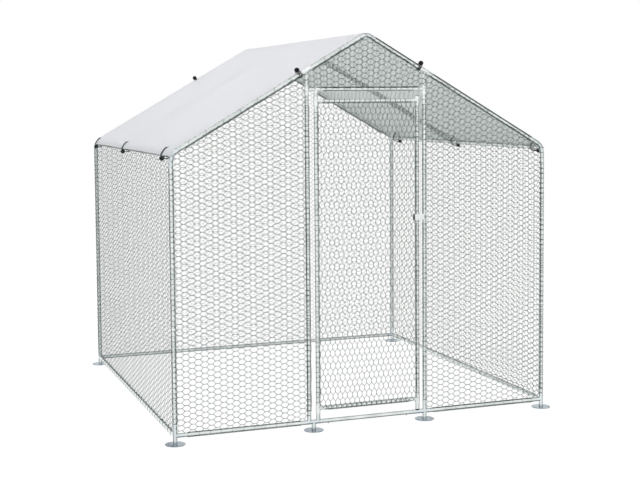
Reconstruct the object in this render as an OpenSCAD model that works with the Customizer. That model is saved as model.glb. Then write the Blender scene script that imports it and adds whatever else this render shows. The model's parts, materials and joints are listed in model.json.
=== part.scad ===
// Walk-in poultry run: a gabled frame of plug-together galvanised tube, covered with hexagonal
// wire netting, with a hinged door in the front gable and a sheet tied over the roof with ball loops.
// The origin is on the ground under the middle of the run. +X is to the right of someone who faces
// the door, +Y is to the back and +Z is up. Lengths are in millimetres.

/* [Run] */
// Width between the axes of the corner posts
run_w = 2000; // [1600:10:3000]
// Depth between the axes of the corner posts
run_d = 2000; // [1600:10:3000]
// Height at which the axes of a corner post and a rafter meet
eave_h = 1395; // [1200:5:1800]
// Slope of the roof in degrees
roof_pitch = 30; // [25:1:35]
// Height of the bottom rail's axis
rail_h = 43; // [40:1:60]

/* [Tube] */
// Outside diameter of every frame and door tube
tube_d = 22; // [20:0.5:26]
// Wall of a tube
tube_wall = 1.2; // [0.8:0.1:1.6]

/* [Plug fittings] */
// Gap between a plug and the tube pushed over it
plug_gap = 0.2; // [0.1:0.05:0.3]
// Wall of a plug
plug_wall = 1.5; // [1:0.1:2.5]
// Length of a plug inside its tube
plug_l = 40; // [30:1:60]
// Arm of a corner fitting, from the post's axis to the end of the tube
arm_l = 52; // [40:1:80]
// How much smaller in radius a welded side arm is than the piece it stands on
weld_step = 0.2; // [0.1:0.05:0.4]
// Radius of the bend at an eave corner, on the tube's axis
eave_bend_r = 70; // [50:5:90]
// Radius of the bend at an apex, on the tube's axis
apex_bend_r = 45; // [35:5:70]
// Straight stretch between a bend and the end of its tube
bend_leg = 20; // [14:1:40]

/* [Sleeve fittings] */
// Wall of a sleeve
sleeve_wall = 1.5; // [1.2:0.1:2.5]
// Gap between a sleeve and the tube in it
sleeve_gap = 0.2; // [0.1:0.05:0.4]
// Length of the sleeves of the header and rafter tees
sleeve_l = 50; // [40:1:80]
// Arm of a rafter tee, from the rafter's axis down to the door post
tee_arm = 40; // [38:1:42]

/* [Screws] */
// Shank of a joint screw
screw_d = 3.8; // [3:0.1:5]
// Head diameter of a joint screw
screw_head_d = 8; // [6:0.5:10]
// Head height of a joint screw
screw_head_h = 2.4; // [1.5:0.1:4]
// Distance of a joint screw from the end of its tube
screw_in = 18; // [12:1:24]
// Shank beyond the inside of the plug
screw_tip = 2; // [1:0.5:4]
// Gap round a screw and under its head
screw_gap = 0.1; // [0.05:0.05:0.2]

/* [Feet] */
// Diameter of a disc foot
foot_d = 100; // [70:1:140]
// Thickness of a disc foot
foot_t = 2.5; // [2:0.1:4]
// Bevel round the rim of a disc foot
foot_bevel = 0.6; // [0.2:0.1:0.9]
// Length of the stub that stands in a fitting's stem
foot_stub = 22; // [15:1:24]
// Gap between a disc and the stem that stands on it
foot_gap = 0.1; // [0.05:0.05:0.3]

/* [Doorway] */
// Width between the axes of the door posts
doorway_w = 632; // [560:2:800]
// Header's axis below the point where a door post's axis meets the rafter's
header_drop = 90; // [89:1:140]
// Base fitting of a door post, from the post's axis towards the corner
base_fit_out = 52; // [45:1:80]
// Base fitting of a door post, from the post's axis across the doorway
base_fit_in = 84; // [78:1:120]
// Arm of the left header tee, which carries the upper hinge peg
header_arm_hinge = 84; // [78:1:120]
// Arm of the right header tee
header_arm_latch = 62; // [50:1:100]
// Foot of the left base fitting, from the post's axis towards the hinge
foot_shift = 24; // [0:1:30]

/* [Door] */
// Hinge axis from the left door post's axis
hinge_gap = 48; // [44:1:60]
// Latch stile's axis from the right door post's axis
latch_gap = 40; // [34:1:50]
// Shoulder of the lower hinge peg above the rail's axis
peg_rise = 33; // [25:1:45]
// Shoulder of the upper hinge peg below the header's axis
peg_drop = 20; // [16:1:30]
// Length of a hinge peg inside the stile
peg_l = 40; // [25:1:60]
// Radial clearance of a hinge peg in the stile
peg_gap = 0.15; // [0.05:0.05:0.3]
// End play of the hinge stile at each shoulder
hinge_play = 0.3; // [0.2:0.1:1]
// Bottom bar's axis above the rail's axis
door_bottom_rise = 67; // [62:1:120]
// Top bar's axis below the header's axis
door_top_drop = 60; // [50:1:120]
// Latch stile above the top bar's axis
stile_over = 24; // [23:1:26]
// Clear height of the latch stile's cap over the rail
stile_clear = 2; // [1.5:0.5:10]
// Length of a door tee's sleeve
door_tee_l = 44; // [36:1:46]
// Arm of a door tee, from the stile's axis to the end of the bar
door_tee_arm = 34; // [28:1:50]
// Flange of the end caps on the latch stile
cap_t = 2; // [1:0.5:4]
// Plug of an end cap inside the stile
cap_plug = 12; // [8:1:20]

/* [Latch] */
// Middle of the latch above the rail's axis
latch_rise = 1007; // [700:1:1200]
// Height of the hasp plate
hasp_h = 30; // [26:1:40]
// Thickness of the hasp plate
hasp_t = 2; // [1.5:0.1:3]
// Hasp plate beyond the door post's axis
hasp_over = 11; // [9:0.5:14]
// Hasp pin's axis from the latch stile's axis
hasp_back = 23; // [21:0.5:30]
// Wall of the clamp bands on the stile and on the post
band_wall = 1.9; // [1.5:0.1:3]
// Gap between the hasp plate and the bands behind it
hasp_gap = 0.4; // [0.3:0.1:1]
// Outside radius of the hasp's knuckles
knuckle_r = 4.5; // [4:0.1:5.5]
// Height of the plate's own knuckle
knuckle_h = 10; // [8:0.5:12]
// Gap above and below the plate's knuckle
knuckle_gap = 0.3; // [0.2:0.1:0.6]
// Radius of the hasp pin
pin_r = 2; // [1.5:0.1:2.5]
// Radial clearance of the hasp pin
pin_gap = 0.15; // [0.1:0.05:0.2]
// Radius of the pin's two heads
pin_head_r = 3.2; // [2.8:0.1:4]
// Height of a pin head
pin_head_h = 1.5; // [1:0.1:3]
// Radius of the staple's rod
staple_r = 2; // [1.5:0.1:3]
// Radius of the staple's loop, on the rod's axis
staple_loop = 6; // [5.5:0.1:8]
// Straight stretch of the staple in front of its band
staple_leg = 5.8; // [4:0.1:12]
// Height of the staple's band
staple_band_h = 20; // [18:1:30]
// Clearance of the staple at the slot's sides
slot_side = 2.5; // [2:0.1:4]
// Clearance of the staple at the slot's ends
slot_end = 1.5; // [1:0.1:3]

/* [Netting] */
// Thickness of a net
net_t = 1.2; // [1:0.1:3]
// Width of the strands and of the edge of a net
net_strand = 8; // [5:0.5:14]
// Distance across the flats of a mesh on the walls and the roof
wall_mesh = 320; // [300:5:400]
// Distance across the flats of a mesh on the front panels and the door
front_mesh = 200; // [180:5:300]
// Distance across the flats of a mesh in the front gable
gable_mesh = 150; // [120:5:250]
// Smallest opening left at a net's edge, as a share of a whole mesh
mesh_share = 0.04; // [0.02:0.01:0.3]
// Gap between a net and the tubes behind it
net_gap = 0.3; // [0.2:0.1:0.8]
// How far a net's edge stays inside the axis of the tube that carries it
net_edge = 1; // [0.5:0.5:3]
// Room left in a net round a fitting, a band or a cord
net_room = 0.6; // [0.4:0.1:2]

/* [Roof sheet] */
// Thickness of the sheet
sheet_t = 1; // [0.5:0.1:2]
// Sheet beyond the rafters' axes at the front and the back
sheet_end = 4; // [0:0.5:8]
// Sheet beyond the eave corner, down the slope
sheet_over = 5; // [0:0.5:6]
// Gap between the sheet and the roof nets
sheet_gap = 0.3; // [0.2:0.1:0.6]
// Bore of an eyelet
eyelet_bore = 10; // [9:0.5:12]
// Barrel wall of an eyelet
eyelet_wall = 1.5; // [1:0.1:2]
// Flange of an eyelet beyond its barrel
eyelet_flange = 4; // [2:0.5:6]
// Thickness of an eyelet's flanges
eyelet_t = 0.7; // [0.4:0.1:0.8]
// Gap between an eyelet and the sheet
eyelet_gap = 0.1; // [0.05:0.05:0.2]

/* [Ball loops] */
// Diameter of a ball
ball_d = 25; // [20:0.5:26]
// Diameter of the elastic cord
cord_d = 4; // [3:0.5:5]
// Radius of a loop, on the cord's axis
loop_r = 30; // [29:0.5:32]
// Clearance of the cord in its ball
cord_gap = 0.3; // [0.2:0.1:0.6]
// Gap between a ball and what it bears on
ball_gap = 0.5; // [0.3:0.1:0.8]
// Front loop of the left eave from the front corner's axis
left_loop_front = 160; // [34:1:300]
// Middle loop of the left eave behind the middle of the run
left_loop_middle = 120; // [0:5:400]
// Rear loop of the left eave from the rear corner's axis
left_loop_rear = 40; // [34:1:300]
// Front loop of the right eave from the front corner's axis
right_loop_front = 45; // [34:1:300]
// Middle loop of the right eave behind the middle of the run
right_loop_middle = 0; // [0:5:400]
// Rear loop of the right eave from the rear corner's axis
right_loop_rear = 130; // [34:1:300]
// Left gable loops outside the left door post's axis
loop_left = 34; // [28:1:200]
// Right gable loops inside the right door post's axis
loop_right = 28; // [28:1:200]
// Gable loop's centre inside the rafter's axis
loop_in = 6; // [2:0.5:10]

/* [Hidden] */
$fn = 48;
eps = 0.01;

// Radii and half sizes
tube_r = tube_d / 2;
bore_r = tube_r - tube_wall;
plug_r = bore_r - plug_gap;
arm_r = tube_r - weld_step;
sleeve_bore = tube_r + sleeve_gap;
sleeve_r = sleeve_bore + sleeve_wall;
half_w = run_w / 2;
half_d = run_d / 2;

// Roof lines
slope_c = cos(roof_pitch);
slope_s = sin(roof_pitch);
slope_t = tan(roof_pitch);
apex_h = eave_h + half_w * slope_t;
slope_l = half_w / slope_c;
eave_turn = 90 - roof_pitch;
eave_reach = eave_bend_r * tan(eave_turn / 2) + bend_leg;
apex_reach = apex_bend_r * slope_t + bend_leg;

// The eave and ridge tubes leave the bends at the middle of the bend
eave_inset = eave_bend_r * (1 / cos(eave_turn / 2) - 1);
eave_x = half_w - eave_inset * cos(eave_turn / 2);
eave_z = eave_h - eave_inset * sin(eave_turn / 2);
eave_up = (half_w - eave_x) * slope_c - (eave_h - eave_z) * slope_s;
eave_low = (half_w - eave_x) * slope_s + (eave_h - eave_z) * slope_c;
ridge_z = apex_h - apex_bend_r * (1 / slope_c - 1);

// Doorway and door
post_x = doorway_w / 2;
post_top = eave_h + (half_w - post_x) * slope_t;
header_z = post_top - header_drop;
hinge_x = hinge_gap - post_x;
latch_x = post_x - latch_gap;
front_y = -half_d;
door_top = header_z - door_top_drop;
door_bottom = rail_h + door_bottom_rise;
hinge_low = rail_h + peg_rise + hinge_play;
hinge_high = header_z - peg_drop - hinge_play;
latch_low = rail_h + tube_r + stile_clear + cap_t;
latch_high = door_top + stile_over;
peg_r = bore_r - peg_gap;

// Latch
latch_z = rail_h + latch_rise;
band_bore = tube_r + sleeve_gap;
band_r = band_bore + band_wall;
hasp_y = front_y - band_r - hasp_gap - hasp_t / 2;
pin_x = latch_x - hasp_back;
slot_w = 2 * (staple_r + slot_side);
slot_h = 2 * (staple_loop + staple_r + slot_end);

// Layers of the roof, measured from the rafter's axis
net_low = tube_r + net_gap;
sheet_low = net_low + net_t + sheet_gap;
sheet_mid = sheet_low + sheet_t / 2;
sheet_top = sheet_low + sheet_t;

// Ball loops
ball_r = ball_d / 2;
cord_r = cord_d / 2;
eave_ball_angle = -20;
gable_ball_angle = 95;
eave_loop_offset = tube_r + ball_r + ball_gap - loop_r;
eave_loop_c = eave_loop_offset * [cos(eave_ball_angle), sin(eave_ball_angle)];
gable_loop_c = [loop_in, sheet_top + ball_gap + ball_r - loop_r * sin(gable_ball_angle)];
eave_cross = sheet_mid + eave_low - eave_loop_c[1];
eave_eyelet = eave_up - eave_loop_c[0] + sqrt(loop_r * loop_r - eave_cross * eave_cross);
gable_cross = sheet_mid - gable_loop_c[1];
gable_eyelet = gable_loop_c[0] + sqrt(loop_r * loop_r - gable_cross * gable_cross);
eyelet_barrel = eyelet_bore / 2 + eyelet_wall;
eyelet_rim = eyelet_barrel + eyelet_flange;
LEFT_LOOPS = [left_loop_front - half_d, left_loop_middle, half_d - left_loop_rear];
RIGHT_LOOPS = [right_loop_front - half_d, right_loop_middle, half_d - right_loop_rear];
EAVE_LOOPS = concat([for (y = LEFT_LOOPS) [1, y]], [for (y = RIGHT_LOOPS) [0, y]]);
GABLE_LOOPS = [[1, post_x + loop_left], [0, post_x - loop_right]];

// Names of the corners with their sides, left and front being -1
CORNERS = [["front_left", -1, -1], ["front_right", 1, -1], ["rear_left", -1, 1], ["rear_right", 1, 1]];
SIDES = [["left", -1], ["right", 1]];

// A joint is the point where a tube ends on a fitting, the way into the tube and the screw's bearing
function corner_joints(sx, sy) =
    let (c = [sx * half_w, sy * half_d, rail_h])
    [[c + [0, 0, arm_l], [0, 0, 1], sx < 0 ? 0 : 180],
     [c - [sx * arm_l, 0, 0], [-sx, 0, 0], 0],
     [c - [0, sy * arm_l, 0], [0, -sy, 0], 0]];
function eave_joints(sx, sy) =
    let (up = [-sx * slope_c, 0, slope_s], c = [sx * half_w, sy * half_d, eave_h])
    [[c - [0, 0, eave_reach], [0, 0, -1], sx < 0 ? 0 : 180],
     [c + up * eave_reach, up, 0],
     [[sx * eave_x, sy * (half_d - arm_l), eave_z], [0, -sy, 0], 0]];
function apex_joints(sy) =
    [for (sx = [-1, 1])
        let (down = [sx * slope_c, 0, -slope_s])
        [[0, sy * half_d, apex_h] + down * apex_reach, down, 0],
     [[0, sy * (half_d - arm_l), ridge_z], [0, -sy, 0], 0]];
function base_joints(sx) =
    let (c = [sx * post_x, front_y, rail_h])
    [[c + [0, 0, arm_l], [0, 0, 1], sx < 0 ? 180 : 0],
     [c + [sx * base_fit_out, 0, 0], [sx, 0, 0], 0],
     [c - [sx * base_fit_in, 0, 0], [-sx, 0, 0], 0]];
function rafter_tee_joint(sx) =
    [[sx * post_x, front_y, post_top - tee_arm], [0, 0, -1], sx < 0 ? 180 : 0];
function header_joint(sx) =
    [[sx * (post_x - (sx < 0 ? header_arm_hinge : header_arm_latch)), front_y, header_z], [-sx, 0, 0], 0];
function door_joint(sx, z) =
    [[(sx < 0 ? hinge_x + door_tee_arm : latch_x - door_tee_arm), front_y, z], [-sx, 0, 0], 0];

FRAME_JOINTS = concat(
    [for (c = CORNERS) each corner_joints(c[1], c[2])],
    [for (c = CORNERS) each eave_joints(c[1], c[2])],
    [for (sy = [-1, 1]) each apex_joints(sy)],
    [for (sx = [-1, 1]) each base_joints(sx)],
    [for (sx = [-1, 1]) rafter_tee_joint(sx)],
    [for (sx = [-1, 1]) header_joint(sx)]);

// Turns a child that stands along +Z so that it runs along v from p, with its +X side underneath
module along(p, v) {
    down = v[0] == 0 && v[1] == 0 && v[2] < 0;
    translate(p)
        rotate([0, acos(v[2] / norm(v)), down ? 180 : atan2(v[1], v[0])])
            children();
}

// The roof's right slope: x runs to the back, y up the slope from the eave corner and z off the rafter
module on_slope() {
    translate([half_w, 0, eave_h])
        rotate([0, roof_pitch - 90, 0])
            rotate([90, 0, 90])
                children();
}

// A tube between two joints, with a screw hole near each end
module tube(from, to, bearing = 0, screwed = true) {
    length = norm(to - from);
    along(from, to - from)
        difference() {
            cylinder(r = tube_r, h = length);
            translate([0, 0, -1]) cylinder(r = bore_r, h = length + 2);
            if (screwed)
                for (z = [screw_in, length - screw_in]) screw_hole(z, bearing);
        }
}

// A hole for a screw through one wall, at height z
module screw_hole(z, bearing) {
    rotate([0, 0, bearing])
        translate([0, 0, z])
            rotate([0, 90, 0])
                cylinder(r = screw_d / 2 + screw_gap, h = tube_d);
}

// Outside of a plug and the arm behind it
module plug(joint, back, r = arm_r) {
    along(joint[0] - joint[1] * back, joint[1]) cylinder(r = r, h = back);
    along(joint[0] - joint[1], joint[1]) cylinder(r = plug_r, h = plug_l + 1);
}

// What is taken out of a plug: its bore, which runs back into the arm by depth, and its screw hole
module plug_bore(joint, depth, screwed = true) {
    along(joint[0] - joint[1] * depth, joint[1])
        cylinder(r = plug_r - plug_wall, h = depth + plug_l + 1);
    if (screwed)
        along(joint[0], joint[1]) screw_hole(screw_in, joint[2]);
}

// A screw through the tube and the plug at a joint
module joint_screw(joint) {
    head_x = tube_r + screw_gap;
    tip_x = plug_r - plug_wall - screw_tip;
    along(joint[0], joint[1])
        rotate([0, 0, joint[2]])
            translate([0, 0, screw_in])
                rotate([0, 90, 0]) {
                    translate([0, 0, head_x]) cylinder(d = screw_head_d, h = screw_head_h);
                    translate([0, 0, tip_x]) cylinder(d = screw_d, h = head_x - tip_x + 1);
                }
}

// Blind bore of a stem that stands on a disc foot
module stem_bore(x, y) {
    translate([x, y, -1]) cylinder(r = bore_r, h = foot_t + foot_gap + foot_stub + 2);
}

// A stem from the rail's axis down to the disc foot under it
module stem(x, y, r) {
    translate([x, y, foot_t + foot_gap]) cylinder(r = r, h = rail_h - foot_t - foot_gap);
}

// Shapes of the fittings

module corner_fitting(sx, sy) {
    joints = corner_joints(sx, sy);
    core = arm_l - tube_d;
    color("lightsteelblue")
        difference() {
            union() {
                stem(sx * half_w, sy * half_d, tube_r);
                translate([0, 0, -eps]) plug(joints[0], arm_l, tube_r);
                plug(joints[1], arm_l);
                plug(joints[2], arm_l);
            }
            stem_bore(sx * half_w, sy * half_d);
            for (j = joints) plug_bore(j, core);
        }
}

module eave_bend(sx, sy) {
    joints = eave_joints(1, sy);
    bend_c = [half_w - eave_bend_r, sy * half_d, eave_h - eave_bend_r * tan(eave_turn / 2)];
    color("lightsteelblue")
        mirror([sx < 0 ? 1 : 0, 0, 0])
            difference() {
                union() {
                    translate(bend_c)
                        rotate([90, 0, 0])
                            rotate_extrude(angle = eave_turn)
                                translate([eave_bend_r, 0])
                                    circle(r = tube_r);
                    plug(joints[0], bend_leg + 1);
                    plug(joints[1], bend_leg + 1);
                    plug(joints[2], arm_l);
                }
                plug_bore(joints[0], bend_leg / 2);
                plug_bore(joints[1], bend_leg / 2);
                plug_bore(joints[2], arm_l - tube_d);
            }
}

module apex_bends() {
    color("lightsteelblue")
        for (sy = [-1, 1]) {
            joints = apex_joints(sy);
            difference() {
                union() {
                    translate([0, sy * half_d, apex_h - apex_bend_r / slope_c])
                        rotate([90, 0, 0])
                            rotate([0, 0, 90 - roof_pitch])
                                rotate_extrude(angle = 2 * roof_pitch)
                                    translate([apex_bend_r, 0])
                                        circle(r = tube_r);
                    plug(joints[0], bend_leg + 1);
                    plug(joints[1], bend_leg + 1);
                    plug(joints[2], arm_l);
                }
                plug_bore(joints[0], bend_leg / 2);
                plug_bore(joints[1], bend_leg / 2);
                plug_bore(joints[2], arm_l - tube_d);
            }
        }
}

module door_base(sx) {
    joints = base_joints(sx);
    foot_x = sx * post_x + (sx < 0 ? foot_shift : 0);
    color("lightsteelblue")
        difference() {
            union() {
                plug(joints[1], base_fit_out + base_fit_in, tube_r);
                plug(joints[2], base_fit_in, tube_r);
                plug(joints[0], arm_l);
                stem(foot_x, front_y, arm_r);
                if (sx < 0) hinge_peg(rail_h, 1, peg_rise);
            }
            stem_bore(foot_x, front_y);
            plug_bore(joints[0], arm_l - tube_d);
            plug_bore(joints[1], base_fit_out - tube_d);
            plug_bore(joints[2], base_fit_in - hinge_gap - tube_d / 2);
        }
}

// A peg on the hinge axis: a shoulder that stands out from z by rise, and a peg inside the stile
module hinge_peg(z, up, rise) {
    along([hinge_x, front_y, z], [0, 0, up]) {
        cylinder(r = arm_r, h = rise);
        cylinder(r = peg_r, h = rise + peg_l);
    }
}

// A sleeve round a tube whose axis runs along v through p
module sleeve(p, v, length) {
    along(p - v * length / 2, v) cylinder(r = sleeve_r, h = length);
}

// The bore of such a sleeve
module sleeve_cut(p, v, length) {
    along(p - v * (length / 2 + 1), v) cylinder(r = sleeve_bore, h = length + 2);
}

module rafter_tees() {
    color("whitesmoke")
        for (sx = [-1, 1]) {
            p = [sx * post_x, front_y, post_top];
            v = [-sx * slope_c, 0, slope_s];
            joint = rafter_tee_joint(sx);
            difference() {
                union() {
                    sleeve(p, v, sleeve_l);
                    plug(joint, tee_arm);
                }
                sleeve_cut(p, v, sleeve_l);
                plug_bore(joint, tee_arm - 2 * tube_r);
                along(p, [0, 1, 0]) cylinder(r = screw_d / 2 + screw_gap, h = tube_d);
            }
        }
}

module header_tee(sx) {
    p = [sx * post_x, front_y, header_z];
    joint = header_joint(sx);
    reach = sx < 0 ? header_arm_hinge : header_arm_latch;
    solid_to = sx < 0 ? hinge_gap + tube_d / 2 : tube_d;
    color("whitesmoke")
        difference() {
            union() {
                sleeve(p, [0, 0, 1], sleeve_l);
                plug(joint, reach);
                if (sx < 0) hinge_peg(header_z, -1, peg_drop);
            }
            sleeve_cut(p, [0, 0, 1], sleeve_l);
            plug_bore(joint, reach - solid_to);
            along(p, [0, 1, 0]) cylinder(r = screw_d / 2 + screw_gap, h = tube_d);
        }
}

module disc_feet() {
    places = concat(
        [for (c = CORNERS) [c[1] * half_w, c[2] * half_d]],
        [[foot_shift - post_x, front_y], [post_x, front_y]]);
    rim = foot_d / 2;
    color("slategray")
        for (p = places)
            translate(p)
                difference() {
                    rotate_extrude()
                        polygon([[0, 0], [rim - foot_bevel, 0], [rim, foot_bevel], [rim, foot_t - foot_bevel],
                                 [rim - foot_bevel, foot_t], [plug_r, foot_t], [plug_r, foot_t + foot_stub],
                                 [0, foot_t + foot_stub]]);
                    translate([0, 0, foot_t]) cylinder(r = plug_r - plug_wall, h = foot_stub + 1);
                }
}

// Screws at the joints, and a set screw in each sleeve tee that bears on the tube inside it
module frame_screws() {
    color("gray") {
        for (j = FRAME_JOINTS) joint_screw(j);
        for (sx = [-1, 1], z = [post_top, header_z])
            along([sx * post_x, front_y, z], [0, 1, 0]) {
                translate([0, 0, sleeve_r + screw_gap]) cylinder(d = screw_head_d, h = screw_head_h);
                translate([0, 0, tube_r + screw_gap])
                    cylinder(d = screw_d, h = sleeve_r - tube_r + 1);
            }
    }
}

// Shapes of the nets

// Inward normal of an edge of an outline that runs anticlockwise
function inward(p, q) = [p[1] - q[1], q[0] - p[0]] / norm(q - p);

// Where the line through p along d meets the line through q along e
function meeting(p, d, q, e) = p + d * cross(q - p, e) / cross(d, e);

// A convex outline with each edge moved inwards
function inset(outline, by) =
    let (n = len(outline))
    [for (i = [0 : n - 1])
        let (a = outline[(i + n - 1) % n], b = outline[i], c = outline[(i + 1) % n])
        meeting(a + inward(a, b) * by, b - a, b + inward(b, c) * by, c - b)];

// The part of a shape on the inner side of the line through p with normal n
function clipped(shape, p, n) =
    [for (i = [0 : 1 : len(shape) - 1])
        let (a = shape[i], b = shape[(i + 1) % len(shape)], da = (a - p) * n, db = (b - p) * n)
        each concat(da >= 0 ? [a] : [], (da >= 0) != (db >= 0) ? [a + (b - a) * da / (da - db)] : [])];

// The part of a shape inside a convex outline
function within(shape, outline, i = 0) =
    i == len(outline) || len(shape) == 0 ? shape :
    let (a = outline[i], b = outline[(i + 1) % len(outline)])
    within(clipped(shape, a, inward(a, b)), outline, i + 1);

function area(shape) =
    len(shape) < 3 ? 0 :
    let (n = len(shape))
    [for (i = [0 : n - 1]) cross(shape[i], shape[(i + 1) % n])] * [for (i = [0 : n - 1]) 0.5];

// The openings of a net: hexagons in rows, cut off along the net's edge. An upright net has its
// hexagons on their points.
function openings(outline, mesh, upright) =
    let (inner = inset(outline, net_strand),
         xs = [for (p = outline) p[0]],
         ys = [for (p = outline) p[1]],
         middle = [(min(xs) + max(xs)) / 2, (min(ys) + max(ys)) / 2],
         span = max(max(xs) - min(xs), max(ys) - min(ys)) / 2 + mesh,
         r = (mesh - net_strand) / sqrt(3),
         whole = 1.5 * sqrt(3) * r * r,
         step = mesh * sqrt(3) / 2,
         columns = ceil(span / step),
         rows = ceil(span / mesh))
    [for (i = [-columns : columns], j = [-rows : rows])
        let (across = i * step,
             up = (j + (i % 2 == 0 ? 0 : 0.5)) * mesh,
             c = middle + (upright ? [up, across] : [across, up]),
             turn = upright ? 30 : 0,
             hexagon = [for (k = [0 : 5]) c + r * [cos(60 * k + turn), sin(60 * k + turn)]],
             shape = within(hexagon, inner))
        if (area(shape) > mesh_share * whole) shape];

// A flat net with its outline in x and y
module net(axes, mesh, upright = false) {
    outline = inset(axes, net_edge);
    holes = openings(outline, mesh, upright);
    starts = [for (i = 0, s = len(outline); i < len(holes); s = s + len(holes[i]), i = i + 1) s];
    linear_extrude(net_t)
        polygon(
            points = concat(outline, [for (h = holes) each h]),
            paths = concat(
                [[for (i = [0 : len(outline) - 1]) i]],
                [for (i = [0 : len(holes) - 1]) [for (k = [0 : len(holes[i]) - 1]) starts[i] + k]]));
}

// Puts a net with x and z in the front wall, on the outside of its tubes
module on_front() {
    translate([0, front_y - net_low, 0]) rotate([90, 0, 0]) children();
}

// Room in the nets round the sleeves of the doorway and round the staple's band
module doorway_room() {
    for (sx = [-1, 1]) {
        room_at([sx * post_x, front_y, post_top], [-sx * slope_c, 0, slope_s], sleeve_l, sleeve_r);
        room_at([sx * post_x, front_y, header_z], [0, 0, 1], sleeve_l, sleeve_r);
    }
    room_at([post_x, front_y, latch_z], [0, 0, 1], staple_band_h, band_r);
}

module room_at(p, v, length, r) {
    along(p - v * (length / 2 + net_room), v) cylinder(r = r + net_room, h = length + 2 * net_room);
}

// Room in the nets round the ball loops
module loop_room() {
    reach = sheet_top + eyelet_t;
    room_r = eyelet_rim + net_room;
    at_eyelets() translate([0, 0, -reach]) cylinder(r = room_r, h = reach);
}

// Room in an end wall's net where the gable loops pass through it below the rafter
module gable_loop_room() {
    out = -net_low - net_t / 2;
    low = gable_loop_c[1] - sqrt(loop_r * loop_r - (out - gable_loop_c[0]) * (out - gable_loop_c[0]));
    at_gable_loops()
        translate([out, low, 0])
            rotate([0, 90, 0])
                cylinder(r = 2 * cord_r + net_room, h = 4 * net_t, center = true);
}

// Room in a side wall's net for the balls and cords at the eave
module eave_loop_room() {
    width = ball_d + 2 * net_room;
    drop = loop_r + cord_r - eave_loop_c[1] + net_room;
    for (e = EAVE_LOOPS)
        mirror([e[0], 0, 0])
            translate([half_w - tube_d, e[1] - width / 2, eave_z - drop])
                cube([2 * tube_d, width, 2 * drop]);
}

module side_net(sx) {
    axes = [[-half_d, rail_h], [half_d, rail_h], [half_d, eave_z], [-half_d, eave_z]];
    color("silver")
        difference() {
            translate([sx < 0 ? -half_w - net_low - net_t : half_w + net_low, 0, 0])
                rotate([90, 0, 90])
                    net(axes, wall_mesh);
            eave_loop_room();
        }
}

module rear_net() {
    axes = [[-half_w, rail_h], [half_w, rail_h], [half_w, eave_h], [0, apex_h], [-half_w, eave_h]];
    color("silver")
        difference() {
            translate([0, half_d + net_low + net_t, 0]) rotate([90, 0, 0]) net(axes, wall_mesh);
            gable_loop_room();
        }
}

module roof_net(sx) {
    top = slope_l + net_low * slope_t;
    axes = [[-half_d, 0], [half_d, 0], [half_d, top], [-half_d, top]];
    color("silver")
        difference() {
            mirror([sx < 0 ? 1 : 0, 0, 0]) on_slope() translate([0, 0, net_low]) net(axes, wall_mesh);
            doorway_room();
            loop_room();
        }
}

module front_net(sx) {
    axes = sx < 0
        ? [[-half_w, rail_h], [-post_x, rail_h], [-post_x, post_top], [-half_w, eave_h]]
        : [[post_x, rail_h], [half_w, rail_h], [half_w, eave_h], [post_x, post_top]];
    color("silver")
        difference() {
            on_front() net(axes, front_mesh);
            doorway_room();
            gable_loop_room();
        }
}

module gable_net() {
    axes = [[-post_x, header_z], [post_x, header_z], [post_x, post_top], [0, apex_h], [-post_x, post_top]];
    color("silver")
        difference() {
            on_front() net(axes, gable_mesh);
            doorway_room();
            gable_loop_room();
        }
}

module door_net() {
    axes = [[hinge_x, door_bottom], [latch_x, door_bottom], [latch_x, door_top], [hinge_x, door_top]];
    color("silver")
        difference() {
            on_front() net(axes, front_mesh, true);
            for (x = [hinge_x, latch_x], z = [door_bottom, door_top])
                room_at([x, front_y, z], [0, 0, 1], door_tee_l, sleeve_r);
            bracket_room();
        }
}

// Room in the door's net for the hasp bracket
module bracket_room() {
    left = pin_x - knuckle_r - net_room;
    translate([left, front_y - 2 * tube_r, latch_z - hasp_h / 2 - net_room])
        cube([latch_x + band_r - left, 2 * tube_r, hasp_h + 2 * net_room]);
}

// Shapes of the roof sheet, its eyelets and the ball loops

// Places a child at each eave loop, with the tube's axis at the origin, x down the slope and y off it
module at_eave_loops() {
    for (e = EAVE_LOOPS)
        mirror([e[0], 0, 0])
            translate([eave_x, e[1], eave_z])
                rotate([0, roof_pitch, 0])
                    rotate([90, 0, 0])
                        children();
}

// Places a child at each gable loop, with the rafter's axis at the origin, x inwards and y off the slope
module at_gable_loops() {
    for (end = [0, 1], g = GABLE_LOOPS)
        mirror([0, end, 0])
            mirror([g[0], 0, 0])
                on_slope()
                    translate([-half_d, (half_w - g[1]) / slope_c, 0])
                        rotate([90, 0, 0])
                            children();
}

// Places a child at each eyelet, on the sheet's middle surface with z off the roof
module at_eyelets() {
    for (e = EAVE_LOOPS)
        mirror([e[0], 0, 0]) on_slope() translate([e[1], eave_eyelet, sheet_mid]) children();
    for (end = [0, 1], g = GABLE_LOOPS)
        mirror([0, end, 0])
            mirror([g[0], 0, 0])
                on_slope()
                    translate([gable_eyelet - half_d, (half_w - g[1]) / slope_c, sheet_mid])
                        children();
}

module roof_sheet() {
    low_x = half_w + sheet_over * slope_c;
    low_z = eave_h - sheet_over * slope_s;
    right = [[low_x + sheet_low * slope_s, low_z + sheet_low * slope_c],
             [low_x + sheet_top * slope_s, low_z + sheet_top * slope_c]];
    color("gainsboro")
        difference() {
            rotate([90, 0, 0])
                linear_extrude(run_d + 2 * sheet_end, center = true)
                    polygon([right[0], right[1], [0, apex_h + sheet_top / slope_c],
                             [-right[1][0], right[1][1]], [-right[0][0], right[0][1]],
                             [0, apex_h + sheet_low / slope_c]]);
            at_eyelets() cylinder(r = eyelet_barrel + eyelet_gap, h = 4 * sheet_t, center = true);
        }
}

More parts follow.
